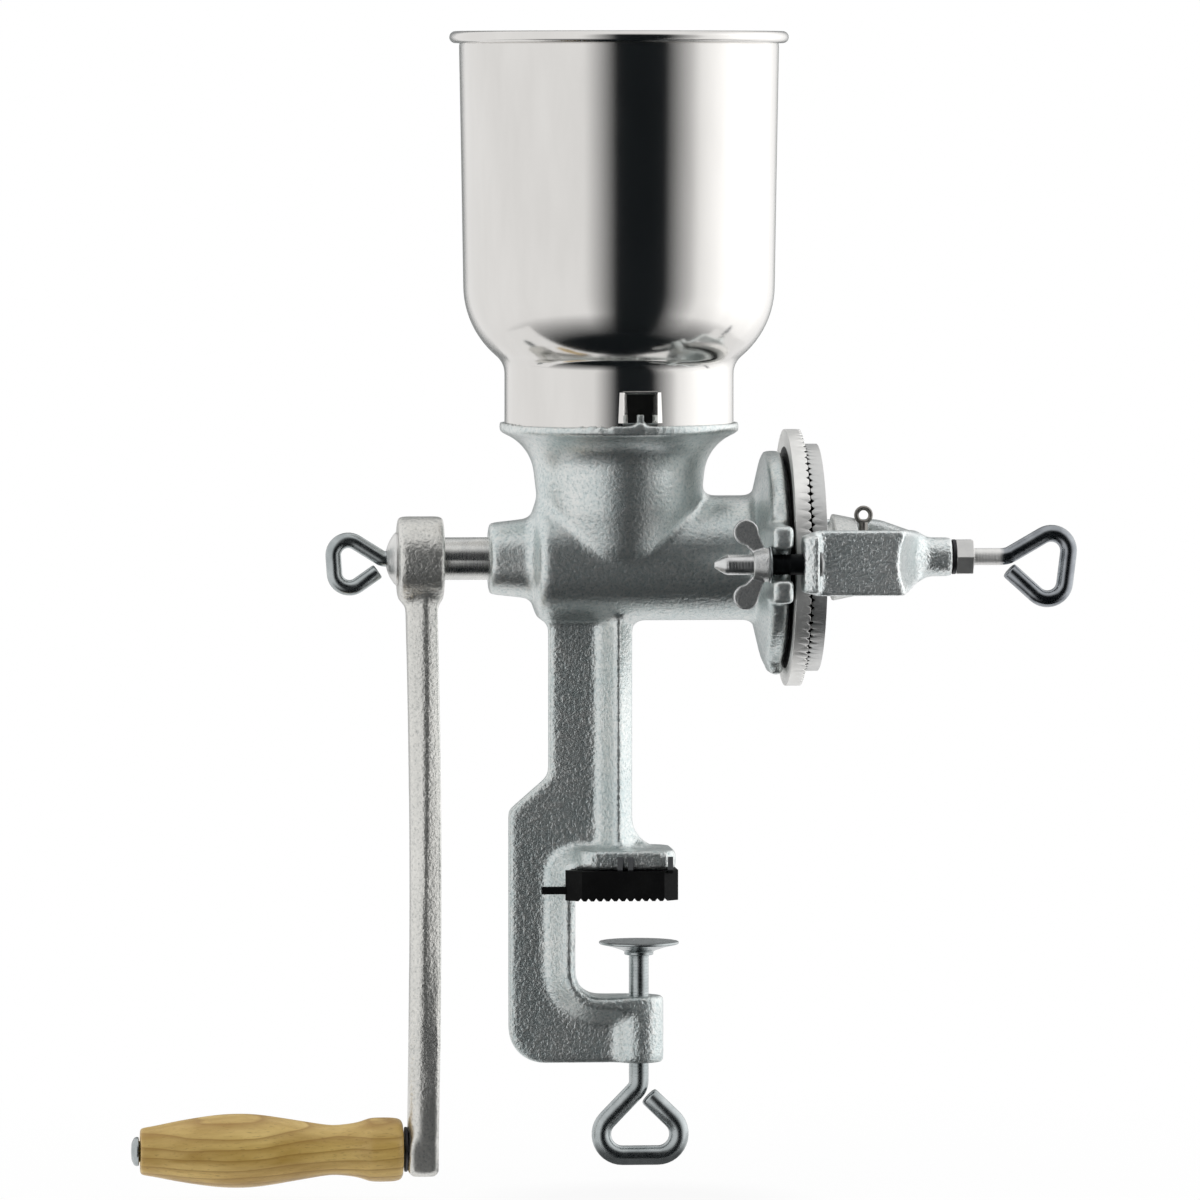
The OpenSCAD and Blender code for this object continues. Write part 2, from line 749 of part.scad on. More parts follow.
module cotter_pin() {
    color(black_steel) difference() {
        translate([cotter_x, 0, axis_height]) {
            translate([0, 0, -cotter_down]) cylinder(h = cotter_up + cotter_down, d = cotter_d);
            translate([0, 0, cotter_up + cotter_eye_r]) rotate([90, 0, 0])
                rotate_extrude() translate([cotter_eye_r, 0]) circle(d = cotter_wire);
        }
        translate([cotter_x - cotter_d, -0.2, axis_height - cotter_down - 1]) cube([2 * cotter_d, 0.4, 4]);
    }
}

module thrust_ball() {
    color(bright_steel) about_shaft() translate([0, 0, ball_x]) sphere(ball_r);
}

// Plan of one side of the bridge: a straight leg, then a slant up to the hub
module bridge_side() {
    inner_x = shoulder_x - (bridge_t * slant_length - leg_t * bridge_rise) / slant_y;
    polygon([
        [fixed_face_x, leg_in], [fixed_face_x, leg_out], [shoulder_x, leg_out],
        [bridge_face_x, bridge_flat], [bridge_face_x, 0], [bridge_face_x - bridge_t, 0],
        [bridge_face_x - bridge_t, bridge_flat], [inner_x, leg_in]
    ]);
}

// Long hollow in the slant's outer face
module bridge_scoop() {
    translate([bridge_face_x, bridge_flat, axis_height]) rotate([0, 0, slant_turn])
        translate([-bridge_t, scoop_depth - scoop_r, 0]) rotate([0, 90, 0])
            cylinder(h = slant_length + 2 * bridge_t, r = scoop_r);
}

module bridge_ear() {
    translate([0, 0, axis_height - ear_h]) linear_extrude(2 * ear_h) polygon([
        [ear_x, ear_in], [ear_end_x, ear_in], [ear_end_x, ear_out], [ear_x, ear_out - ear_draft]
    ]);
}

module bridge() {
    color(cast_tin) difference() {
        union() {
            difference() {
                intersection() {
                    translate([0, 0, axis_height - leg_height]) linear_extrude(2 * leg_height) {
                        bridge_side();
                        mirror([0, 1]) bridge_side();
                    }
                    translate([0, 0, axis_height]) upright(4 * leg_out) polygon([
                        [fixed_x, leg_height / 2], [shoulder_x, leg_height / 2],
                        [bridge_face_x + 1, bridge_end_h], [bridge_face_x + 1, -bridge_end_h],
                        [shoulder_x, -leg_height / 2], [fixed_x, -leg_height / 2]
                    ]);
                }
                bridge_scoop();
                mirror([0, 1, 0]) bridge_scoop();
            }
            about_shaft() rotate_extrude() polygon([
                [0, hub_start_x], [hub_root_r - 1, hub_start_x], [hub_root_r, bridge_face_x - 2],
                [hub_r, bridge_face_x + hub_step], [hub_r, hub_end_x], [0, hub_end_x]
            ]);
            bridge_ear();
            mirror([0, 1, 0]) bridge_ear();
        }
        rod(hub_start_x - 1, hub_end_x + 1, adjust_d / 2 + running_fit);
        for (s = [-1, 1])
            translate([0, s * bolt_y, 0]) rod(ear_x - 1, ear_end_x + 1, bolt_d / 2 + running_fit);
    }
}

module bolt(y) {
    color(zinc) translate([0, y, 0]) {
        about_shaft() translate([0, 0, bolt_end_x]) cylinder(h = bolt_tip, r1 = bolt_tip_r, r2 = bolt_d / 2);
        rod(bolt_end_x + bolt_tip, ear_end_x, bolt_d / 2);
        rod(ear_end_x, ear_end_x + head_t, head_r);
    }
}
module front_bolt() bolt(-bolt_y);
module rear_bolt() bolt(bolt_y);

module wing_washer(y) {
    color(zinc) translate([0, y, 0]) difference() {
        rod(fork_x - wing_washer_t, fork_x, wing_washer_r);
        rod(fork_x - wing_washer_t - 1, fork_x + 1, bolt_d / 2 + body_gap);
    }
}
module front_washer() wing_washer(-bolt_y);
module rear_washer() wing_washer(bolt_y);

module wing_nut(y) {
    base = fork_x - wing_washer_t;
    color(zinc) translate([0, y, 0]) difference() {
        union() {
            about_shaft() rotate_extrude() polygon([
                [0, base - wing_hub_t], [wing_hub_r - 1.6, base - wing_hub_t], [wing_hub_r, base], [0, base]
            ]);
            for (s = [0, 1]) translate([0, 0, axis_height]) mirror([0, 0, s]) upright(wing_t) {
                translate([base - wing_hub_t - wing_lean / 2, wing_reach]) circle(wing_lobe_r);
                polygon([
                    [base - 1.5, 4.4], [base - 1.5, 6],
                    [base - wing_hub_t - wing_lean / 2 + wing_lobe_r, wing_reach],
                    [base - wing_hub_t - wing_lean / 2 - wing_lobe_r, wing_reach], [base - wing_hub_t, 4.4]
                ]);
            }
        }
        rod(base - wing_hub_t - wing_lean - 8, base + 1, bolt_d / 2 + running_fit);
    }
}
module front_wing_nut() wing_nut(-bolt_y);
module rear_wing_nut() wing_nut(bolt_y);

module adjusting_screw() {
    color(zinc) wire([tip_x, axis_height, 0], [
        [adjust_bend_x - tip_x, adjust_kink, adjust_kink_r], [adjust_out, -adjust_turn, adjust_bend_r],
        [adjust_back, -adjust_close, adjust_bend_r], [adjust_tail, 0, 0]
    ], adjust_d);
}

module lock_washer() {
    color(black_steel) difference() {
        rod(hub_end_x, hub_end_x + lock_washer_t, hub_r - 0.9);
        rod(hub_end_x - 1, hub_end_x + lock_washer_t + 1, adjust_d / 2 + body_gap);
    }
}

module lock_nut() {
    x = hub_end_x + lock_washer_t;
    color(zinc) difference() {
        about_shaft() translate([0, 0, x]) rotate([0, 0, 30])
            cylinder(h = lock_nut_t, d = lock_nut_d, $fn = 6);
        rod(x - 1, x + lock_nut_t + 1, adjust_d / 2 + running_fit);
    }
}

// Cross outline of the crank arm at height z, ridged on both broad sides.
// The ridge drifts to the grip's side on the way down, and the other side flattens out before the end.
function arm_share(z) = (axis_height - z) / crank_radius;
function arm_mid(z) = arm_x + (arm_end_x - arm_x) * arm_share(z) + arm_bow * sin(180 * arm_share(z));
function arm_half(z) = (arm_w + (arm_end_w - arm_w) * arm_share(z)) / 2;
function arm_flat(z) = let (u = min(1, max(0, (arm_share(z) - flat_start) / (flat_end - flat_start))))
    u * u * (3 - 2 * u);
function arm_ring(z) = let (
    x = arm_mid(z), t = arm_t / 2, w = arm_half(z), ridge = x + arm_t * (ridge_start - ridge_drift * arm_share(z)),
    near = w - arm_ridge, far = w - arm_ridge * (1 - arm_flat(z)), crest = w + ridge_crest
) [
    [x - t, -near, z], [ridge, -crest, z], [x + t, -far, z],
    [x + t, far, z], [ridge, crest, z], [x - t, near, z]
];

module crank_arm() {
    steps = 16;
    n = 6;
    rings = [for (i = [0 : steps]) arm_ring(pin_z + (arm_top_z - pin_z) * i / steps)];
    color(cast_tin) difference() {
        union() {
            rod(hub_left_x, hub_x, crank_hub_d / 2);
            polyhedron(
                [for (ring = rings) each ring],
                concat(
                    [[for (k = [0 : n - 1]) k]],
                    [for (i = [0 : steps - 1], k = [0 : n - 1]) each [
                        [(i + 1) * n + (k + 1) % n, i * n + (k + 1) % n, i * n + k],
                        [(i + 1) * n + k, (i + 1) * n + (k + 1) % n, i * n + k]
                    ]],
                    [[for (k = [0 : n - 1]) steps * n + n - 1 - k]]
                ));
            translate([arm_left_x, 0, pin_z]) upright(2 * block_half) polygon([
                [0, block_rise], [0, block_corner - block_drop], [block_corner, -block_drop],
                [arm_t - block_corner, -block_drop], [arm_t, block_corner - block_drop], [arm_t, block_rise]
            ]);
        }
        rod(hub_left_x - 1, hub_x + 1, shaft_d / 2 + running_fit);
        translate([arm_left_x - 1, 0, pin_z]) rotate([0, 90, 0])
            cylinder(h = arm_t + 2, r = grip_pin_d / 2 + running_fit);
    }
}

// Flat on the hub, domed outwards like the cap of a ball
module crank_washer() {
    left_x = hub_left_x - crank_washer_t;
    color(zinc) difference() {
        intersection() {
            rod(left_x, hub_left_x, crank_washer_r);
            about_shaft() translate([0, 0, left_x + washer_ball_r]) sphere(washer_ball_r);
        }
        rod(left_x - 1, hub_left_x + 1, crank_screw_d / 2 + body_gap);
    }
}

module crank_screw() {
    color(zinc) wire([crank_screw_x, axis_height, 180], [
        [crank_screw_x - hub_left_x + crank_washer_t + crank_show, -crank_kink, crank_kink_r],
        [crank_out, crank_turn, crank_bend_r], [crank_back, crank_close, crank_bend_r],
        [crank_tail, 0, 0]
    ], crank_screw_d);
}

// Radius of the grip at a share u of its length from the free end
grip_shape = [
    [0, 0.6], [0.02, 0.65], [0.12, 0.785], [0.2, 0.885], [0.3, 0.985], [0.37, 1], [0.43, 0.99], [0.5, 0.925],
    [0.6, 0.805], [0.7, 0.685], [0.74, 0.665], [0.79, 0.7], [0.83, 0.745], [0.865, 0.84], [0.885, 0.867],
    [0.95, 0.867], [1, 0.78]
];

module grip() {
    color(beech) translate([grip_left_x, 0, pin_z]) rotate([0, 90, 0]) difference() {
        rotate_extrude() polygon(concat(
            [[0, 0]],
            [for (p = grip_shape) [p[1] * grip_d / 2, p[0] * grip_length]],
            [[0, grip_length]]));
        translate([0, 0, -1]) cylinder(h = grip_length + 2, r = grip_bore_r);
    }
}

module grip_pin() {
    color(zinc) translate([grip_left_x - body_gap - pin_head_t, 0, pin_z]) rotate([0, 90, 0]) {
        cylinder(h = pin_head_t, r = pin_head_r);
        cylinder(h = arm_left_x + arm_t - grip_left_x + body_gap + pin_head_t, d = grip_pin_d);
    }
}

module grip_washer() {
    color(black_steel) translate([arm_left_x - grip_washer_t, 0, pin_z]) rotate([0, 90, 0]) difference() {
        cylinder(h = grip_washer_t, r = grip_washer_r);
        translate([0, 0, -1]) cylinder(h = grip_washer_t + 2, r = grip_pin_d / 2 + running_fit);
    }
}

mill_body();
hopper();
table_pad();
clamp_pad();
clamp_screw();
auger();
fixed_plate();
turning_plate();
plate_driver();
cotter_pin();
thrust_ball();
bridge();
front_bolt();
rear_bolt();
front_washer();
rear_washer();
front_wing_nut();
rear_wing_nut();
adjusting_screw();
lock_washer();
lock_nut();
crank_arm();
crank_washer();
crank_screw();
grip();
grip_pin();
grip_washer();
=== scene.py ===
import bmesh
import bpy
from math import acos, cos, degrees, pi, radians, sin, sqrt
from mathutils import Matrix, Vector


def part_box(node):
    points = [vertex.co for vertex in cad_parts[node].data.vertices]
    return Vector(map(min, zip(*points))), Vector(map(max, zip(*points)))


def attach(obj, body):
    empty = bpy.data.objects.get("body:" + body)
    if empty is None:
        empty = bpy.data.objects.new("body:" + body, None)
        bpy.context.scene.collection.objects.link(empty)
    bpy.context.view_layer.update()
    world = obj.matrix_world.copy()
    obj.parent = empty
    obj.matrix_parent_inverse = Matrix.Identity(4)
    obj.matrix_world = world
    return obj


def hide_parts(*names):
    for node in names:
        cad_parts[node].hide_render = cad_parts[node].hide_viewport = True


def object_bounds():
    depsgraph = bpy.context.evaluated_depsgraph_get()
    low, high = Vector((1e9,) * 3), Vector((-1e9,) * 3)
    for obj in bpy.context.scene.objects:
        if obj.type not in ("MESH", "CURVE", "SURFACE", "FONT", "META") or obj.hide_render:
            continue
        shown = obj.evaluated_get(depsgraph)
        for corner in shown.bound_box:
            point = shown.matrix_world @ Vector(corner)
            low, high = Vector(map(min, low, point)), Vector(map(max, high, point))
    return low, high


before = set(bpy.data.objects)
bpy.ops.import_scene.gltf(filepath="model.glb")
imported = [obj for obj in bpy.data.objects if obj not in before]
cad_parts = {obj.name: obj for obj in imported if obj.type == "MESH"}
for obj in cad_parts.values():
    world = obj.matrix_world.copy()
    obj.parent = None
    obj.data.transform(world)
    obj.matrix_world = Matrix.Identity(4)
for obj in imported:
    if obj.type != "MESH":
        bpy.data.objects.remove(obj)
solid_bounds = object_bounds()
scene = bpy.context.scene

# Mill body
# One sand casting in grey iron, dipped in tin: barrel, throat, flange with two bolt forks, leg and clamp
# frame. The mould leaves a fine grain all over it and rounds every corner. A small peg on the throat's rim
# stands in the hopper's notch.
shaft_z = 0.136
same_point = 1e-6
body_skin = 0.0011
body_fillet = 0.0014
body_passes = 5
swell_passes = 2
shrink_passes = 4
sharp_angle = 35
body_grain = 0.0011
body_grain_depth = 0.00032
body_dark = (0.535, 0.605, 0.608)
body_light = (0.735, 0.75, 0.735)
barrel_change = (0.095, 0.125, 0.4)
pit_tone = (0.2, 0.22, 0.225)
worn_and_highlight_tone = (0.84, 0.82, 0.78)
lump_share = 0.7
cloud_scale = 32.0
peg_low = Vector((0.0034, -0.04705, 0.1885))
peg_high = Vector((0.0062, -0.04305, 0.1948))
peg_easing = 0.0005


class Socket:
    """A socket of a shader tree, so that maths on it reads as plain expressions."""

    def __init__(self, tree, out=None):
        self.tree = tree
        self.out = out

    def make(self, kind, settings, feeds, output=0):
        """Adds a node, sets it up, feeds its sockets with values or other sockets, and gives one output."""
        node = self.tree.nodes.new(kind)
        for name, value in settings.items():
            setattr(node, name, value)
        for name, value in feeds.items():
            if isinstance(value, Socket):
                self.tree.links.new(value.out, node.inputs[name])
            else:
                node.inputs[name].default_value = value
        return Socket(self.tree, node.outputs[output]) if output is not None else None

    def maths(self, operation, *values):
        """Adds a Math node on one or two values."""
        return self.make("ShaderNodeMath", {"operation": operation}, dict(enumerate(values)))

    def vector_maths(self, operation, output, *values):
        """Adds a Vector Math node on one or two vectors."""
        return self.make("ShaderNodeVectorMath", {"operation": operation}, dict(enumerate(values)), output)

    def __add__(self, other):
        return self.maths("ADD", self, other)

    def __radd__(self, other):
        return self.maths("ADD", other, self)

    def __sub__(self, other):
        return self.maths("SUBTRACT", self, other)

    def __rsub__(self, other):
        return self.maths("SUBTRACT", other, self)

    def __mul__(self, other):
        return self.maths("MULTIPLY", self, other)

    def __rmul__(self, other):
        return self.maths("MULTIPLY", other, self)

    def __pow__(self, other):
        return self.maths("POWER", self, other)


def start_finish(name):
    """A new material with an empty tree, and the place on the piece that its patterns follow."""
    finish = bpy.data.materials.new(name)
    finish.use_nodes = True
    finish.node_tree.nodes.clear()
    pen = Socket(finish.node_tree)
    return finish, pen, pen.make("ShaderNodeTexCoord", {}, {}, "Object")


def end_finish(pen, colour, roughness, bump, **fixed):
    """Closes a material with one shader, fed by its colour, roughness and bump."""
    feeds = {"Base Color": colour, "Roughness": roughness, "Normal": bump}
    for name, value in fixed.items():
        feeds[name.replace("_", " ")] = value
    shader = pen.make("ShaderNodeBsdfPrincipled", {}, feeds, "BSDF")
    pen.make("ShaderNodeOutputMaterial", {}, {"Surface": shader}, None)


def noise(pen, place, scale, detail, roughness=0.55):
    """Soft noise round one half."""
    feeds = {"Vector": place, "Scale": scale, "Detail": detail, "Roughness": roughness}
    return pen.make("ShaderNodeTexNoise", {}, feeds, "Fac")


def spread(pen, value, low, high, to_low=0.0, to_high=1.0):
    """Stretches a value from one span to another, held at both ends."""
    feeds = {"Value": value, "From Min": low, "From Max": high, "To Min": to_low, "To Max": to_high}
    return pen.make("ShaderNodeMapRange", {"clamp": True}, feeds, "Result")


def fade(pen, value, low, high):
    """One below a span and nothing above it."""
    return spread(pen, value, low, high, 1.0, 0.0)


def coordinate(pen, place, axis):
    """How far a place lies along X, Y or Z."""
    return pen.make("ShaderNodeSeparateXYZ", {}, {"Vector": place}, axis)


def blend_colour(pen, share, first, second):
    """Mixes two colours by a share. A colour is a socket or three numbers."""
    colour_inputs = (6, 7)
    colour_output = 2
    feeds = {"Factor": share}
    for slot, colour in zip(colour_inputs, (first, second)):
        feeds[slot] = colour if isinstance(colour, Socket) else (*colour, 1)
    return pen.make("ShaderNodeMix", {"data_type": "RGBA"}, feeds, colour_output)


def relief(pen, height, strength, depth):
    """Tilts the surface as a relief of this depth would."""
    feeds = {"Strength": strength, "Distance": depth, "Height": height}
    return pen.make("ShaderNodeBump", {}, feeds, "Normal")


def tinned_iron(name, grain_size, grain_depth, dark, light, change=None):
    """Tin over sand-cast iron: a leathery grain, cloudy patches, and brighter edges that are partly wear
    and partly a painted highlight.

    change holds two heights and a factor: between them the grain's depth goes over to factor times itself.
    """
    finish, pen, place = start_finish(name)
    grain = noise(pen, place, 1 / grain_size, detail=2.0, roughness=0.6)
    lumps = noise(pen, place, lump_share / grain_size, detail=2.0)
    clouds = noise(pen, place, cloud_scale, detail=3.0)
    pits = fade(pen, grain, 0.3, 0.45)
    # Brighter edges by pointiness: partly wear, partly a painted highlight.
    edge = spread(pen, pen.make("ShaderNodeNewGeometry", {}, {}, "Pointiness"), 0.52, 0.6)
    tone = spread(pen, grain * 0.35 + lumps * 0.35 + clouds * 0.3, 0.4, 0.6)
    colour = blend_colour(pen, tone, dark, light)
    colour = blend_colour(pen, pits * 0.3, colour, pit_tone)
    colour = blend_colour(pen, edge * 0.2, colour, worn_and_highlight_tone)
    roughness = 0.26 + grain * 0.1 + pits * 0.06
    height = grain * 0.7 + lumps * 1.1
    if change:
        low, high, factor = change
        height = height * spread(pen, coordinate(pen, place, "Z"), low, high, 1.0, factor)
    bump = relief(pen, height, strength=1.0, depth=grain_depth)
    end_finish(pen, colour, roughness, bump, Metallic=0.88)
    return finish


def merged_copy(node):
    """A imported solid's loose triangles, joined into one mesh."""
    bm = bmesh.new()
    bm.from_mesh(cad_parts[node].data)
    bmesh.ops.remove_doubles(bm, verts=bm.verts, dist=same_point)
    return bm


def block(low, high):
    """A new mesh with a block between two corners."""
    bm = bmesh.new()
    bmesh.ops.create_cube(bm, size=1.0)
    bmesh.ops.scale(bm, vec=high - low, verts=bm.verts)
    bmesh.ops.translate(bm, vec=(low + high) / 2, verts=bm.verts)
    return bm


def new_object(name, bm):
    """Turns a mesh in the making into an object of the scene."""
    mesh = bpy.data.meshes.new(name)
    bm.to_mesh(mesh)
    bm.free()
    thing = bpy.data.objects.new(name, mesh)
    scene.collection.objects.link(thing)
    return thing


def make_piece(name, bm, finish, body, nodes, sharp=sharp_angle):
    """Turns a mesh into a smooth-shaded piece that rides on a body and stands for its solids."""
    piece = new_object(name, bm)
    piece.data.materials.append(finish)
    piece.data.shade_smooth()
    piece.data.set_sharp_from_angle(angle=radians(sharp))
    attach(piece, body)
    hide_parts(*nodes)
    return piece


def settle(piece):
    """Fixes a piece's modifiers into its mesh."""
    found = piece.evaluated_get(bpy.context.evaluated_depsgraph_get())
    mesh = bpy.data.meshes.new_from_object(found)
    piece.modifiers.clear()
    piece.data = mesh


def smoothing(passes):
    """The modifier that softens a casting's skin."""
    return "SMOOTH", {"factor": 0.5, "iterations": passes}


def swelling(depth):
    """The modifier that moves a casting's skin out, or in if the depth is negative."""
    return "DISPLACE", {"strength": depth, "mid_level": 0.0}


def casting(name, node, finish, body, skin, fillet, passes):
    """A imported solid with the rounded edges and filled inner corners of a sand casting."""
    piece = make_piece(name, merged_copy(node), finish, body, [node])
    new_skin = ("REMESH", {"mode": "VOXEL", "voxel_size": skin, "use_smooth_shade": True})
    steps = [new_skin]
    if fillet > 0:
        steps += [smoothing(swell_passes), swelling(fillet), new_skin]
        steps += [smoothing(shrink_passes), swelling(-fillet), new_skin]
    steps.append(smoothing(passes))
    for kind, settings in steps:
        step = piece.modifiers.new(kind.lower(), kind)
        for setting, value in settings.items():
            setattr(step, setting, value)
    settle(piece)


body_tin = tinned_iron("body_tin", body_grain, body_grain_depth, body_dark, body_light, barrel_change)
casting("body_casting", "mill_body", body_tin, "mill", body_skin, body_fillet, body_passes)
peg = block(peg_low, peg_high)
bmesh.ops.bevel(
    peg, geom=peg.edges[:], offset=peg_easing, affect="EDGES", segments=2, profile=0.5, material=-1)
make_piece("throat_peg", peg, body_tin, "mill", [])

# Worm shaft
# A turned steel shaft with a cast worm on it, which pushes the grain from the throat to the plates.
# The crank end shows bare between the boss and the crank's hub.
turned_edge = 0.0004
flat_angle = 0.4
ring_run = 60
stain_scale = 180.0
band_fade = 0.002
shaft_bright = (0.74, 0.735, 0.71)
shaft_dull = (0.58, 0.585, 0.575)


def stretched_noise(pen, place, scales, detail):
    """Noise with a scale of its own along each axis."""
    return noise(pen, pen.vector_maths("MULTIPLY", "Vector", place, scales), scale=1.0, detail=detail)


def turned_steel(name, bright, dull, rough, ring_scale, band=None):
    """Bright turned metal: fine rings, faint stains and, if asked for, a band of another tone."""
    finish, pen, place = start_finish(name)
    rings = stretched_noise(pen, place, (ring_scale, ring_run, ring_run), detail=2.0)
    stains = noise(pen, place, stain_scale, detail=3.0)
    colour = blend_colour(pen, spread(pen, stains, 0.35, 0.7), dull, bright)
    roughness = rough + rings * 0.1 + stains * 0.1
    if band:
        first, last, band_colour, band_rough = band
        along = coordinate(pen, place, "X")
        inside = spread(pen, along, first - band_fade, first) * fade(pen, along, last, last + band_fade)
        colour = blend_colour(pen, inside, colour, band_colour)
        roughness = roughness + inside * band_rough
    bump = relief(pen, rings, strength=0.2, depth=0.0001)
    end_finish(pen, colour, roughness, bump, Metallic=1.0)
    return finish


def eased_copy(name, node, finish, body, edge):
    """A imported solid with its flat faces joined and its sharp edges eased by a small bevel."""
    bm = merged_copy(node)
    bmesh.ops.dissolve_limit(bm, angle_limit=radians(flat_angle), verts=bm.verts, edges=bm.edges)
    piece = make_piece(name, bm, finish, body, [node])
    ease = piece.modifiers.new("eased edges", "BEVEL")
    ease.width = edge
    ease.segments = 2
    ease.limit_method = "ANGLE"
    ease.angle_limit = radians(sharp_angle)
    ease.harden_normals = True
    settle(piece)


shaft_steel = turned_steel("shaft_steel", shaft_bright, shaft_dull, rough=0.17, ring_scale=2400)
eased_copy("worm_shaft", "auger", shaft_steel, "rotor", turned_edge)

# Grinding plates
# Two cast plates with radial teeth: the fixed one seats in the flange, the turning one is driven by the
# shaft. Their faces are milled, so rings show round the shaft. Painted shade blackens the teeth at the gap
# between the plates and the fixed one's back next to the flange.
plate_edge = 0.00025
plate_gap_x = 0.0729
gap_shade_zone = 0.0022
gap_shade_fade = 0.8
fixed_rim_r = 0.0514
turning_rim_r = 0.0455
rim_fade = (0.0006, 0.0002)
fixed_back_x = 0.0665
turning_back_x = 0.0
back_fade = 0.0002
back_r = 0.0446
back_rim_fade = 0.0004
mill_rings = 260.0
plate_grain = 800.0
plate_patches = 70.0
plate_shade_black = (0.02, 0.021, 0.022)
fixed_bright = (0.94, 0.935, 0.915)
fixed_dull = (0.82, 0.817, 0.8)
turning_bright = (0.8, 0.798, 0.785)
turning_dull = (0.66, 0.665, 0.66)


def milled_plate(name, bright, dull, rim_r, back_x):
    """Cast iron with milled rings round the shaft's axis; painted shade blackens the teeth at the plates'
    gap and the back up to back_x.
    """
    finish, pen, place = start_finish(name)
    place = pen.make(
        "ShaderNodeMapping", {"vector_type": "POINT"}, {"Vector": place, "Location": (0, 0, -shaft_z)},
        "Vector")
    rings = pen.make(
        "ShaderNodeTexWave", {"wave_type": "RINGS", "rings_direction": "X"},
        {"Vector": place, "Scale": mill_rings, "Distortion": 1.5, "Detail": 2.0, "Detail Scale": 2.0},
        "Fac")
    grain = noise(pen, place, plate_grain, detail=3.0)
    patches = noise(pen, place, plate_patches, detail=2.0)
    along = coordinate(pen, place, "X")
    across = pen.vector_maths("MULTIPLY", "Vector", place, (0, 1, 1))
    radius = pen.vector_maths("LENGTH", "Value", across)
    from_gap = pen.maths("ABSOLUTE", along - plate_gap_x)
    # Painted shade in the gap between the plates: the teeth go black near it, but not at the rim.
    gap_shade = fade(pen, from_gap, gap_shade_zone * gap_shade_fade, gap_shade_zone)
    gap_shade = gap_shade * fade(pen, radius, rim_r - rim_fade[0], rim_r - rim_fade[1])
    # Painted shade on the fixed plate's back, in the narrow gap next to the flange.
    back = fade(pen, along, back_x, back_x + back_fade) * fade(pen, radius, back_r - back_rim_fade, back_r)
    dark = pen.maths("MAXIMUM", gap_shade, back)
    colour = blend_colour(pen, spread(pen, patches, 0.35, 0.68), dull, bright)
    colour = blend_colour(pen, dark * 0.95, colour, plate_shade_black)
    roughness = 0.34 + grain * 0.14 + rings * 0.05 + dark * 0.2
    bump = relief(pen, rings * 0.35 + grain * 0.65, strength=0.35, depth=0.0002)
    end_finish(pen, colour, roughness, bump, Metallic=1.0)
    return finish


fixed_iron = milled_plate("fixed_iron", fixed_bright, fixed_dull, fixed_rim_r, fixed_back_x)
turning_iron = milled_plate("turning_iron", turning_bright, turning_dull, turning_rim_r, turning_back_x)
eased_copy("fixed_plate_milled", "fixed_plate", fixed_iron, "mill", plate_edge)
eased_copy("turning_plate_milled", "turning_plate", turning_iron, "rotor", plate_edge)

# Plate driver, cotter pin and thrust ball
# A cast driver holds the turning plate on the shaft, a split pin goes through both, and a hard steel ball
# takes the thrust between the shaft's end and the adjusting screw.
driver_skin = 0.0006
driver_passes = 4
pin_edge = 0.0002
ball_shading = 60
driver_tin = tinned_iron(
    "driver_tin", grain_size=0.0008, grain_depth=0.0002, dark=(0.54, 0.56, 0.55), light=(0.68, 0.68, 0.66))
pin_steel = turned_steel(
    "pin_steel", bright=(0.4, 0.38, 0.35), dull=(0.2, 0.19, 0.18), rough=0.22, ring_scale=900)
ball_steel = turned_steel(
    "ball_steel", bright=(0.72, 0.72, 0.71), dull=(0.6, 0.6, 0.6), rough=0.1, ring_scale=300)
casting("driver_casting", "plate_driver", driver_tin, "rotor", driver_skin, 0.0, driver_passes)
eased_copy("split_pin", "cotter_pin", pin_steel, "rotor", pin_edge)
make_piece(
    "steel_ball", merged_copy("thrust_ball"), ball_steel, "thrust_ball", ["thrust_ball"],
    ball_shading)

# Bridge
# A cast yoke over the plates: its two sides stand on the fixed plate and slant in to a hub, which holds the
# adjusting screw. Ears at the feet of the sides take the two bolts.
bridge_skin = 0.0009
bridge_fillet = 0.0016
bridge_passes = 4
bridge_grain_depth = 0.00036
bridge_dark = (0.65, 0.715, 0.72)
bridge_light = (0.87, 0.885, 0.875)
bridge_tin = tinned_iron("bridge_tin", body_grain, bridge_grain_depth, bridge_dark, bridge_light)
casting("bridge_casting", "bridge", bridge_tin, "mill", bridge_skin, bridge_fillet, bridge_passes)

# Bridge bolts
# Zinc-plated machine bolts with low domed heads on the bridge's ears. Their threads run out through the
# flange's forks and end in points. Between the ears and the forks they are painted near-black as shade.
shaft_axis = (1, 0, 0)
bolt_pitch = 0.00125
bolt_shank_r = 0.0041
bolt_thread_depth = 0.00015
bolt_core_r = bolt_shank_r - bolt_thread_depth
bolt_plain = 0.012
bolt_runout = 0.0004
bolt_tip = 0.0046
bolt_tip_r = 0.0012
bolt_head_t = 0.0024
bolt_head_round = 0.0008
bolt_dome_share = 0.96
bolt_dome_t = bolt_head_t * 0.45
bolt_top_share = 0.55
# Painted shade: the bolts go near-black between the ears and the forks.
bolt_shade_band = (0.0553, 0.0745, (0.01, 0.011, 0.012), 0.2)
bolt_bright = (0.72, 0.725, 0.72)
bolt_dull = (0.56, 0.565, 0.565)
bolt_zinc = turned_steel("bolt_zinc", bolt_bright, bolt_dull, rough=0.2, ring_scale=700, band=bolt_shade_band)


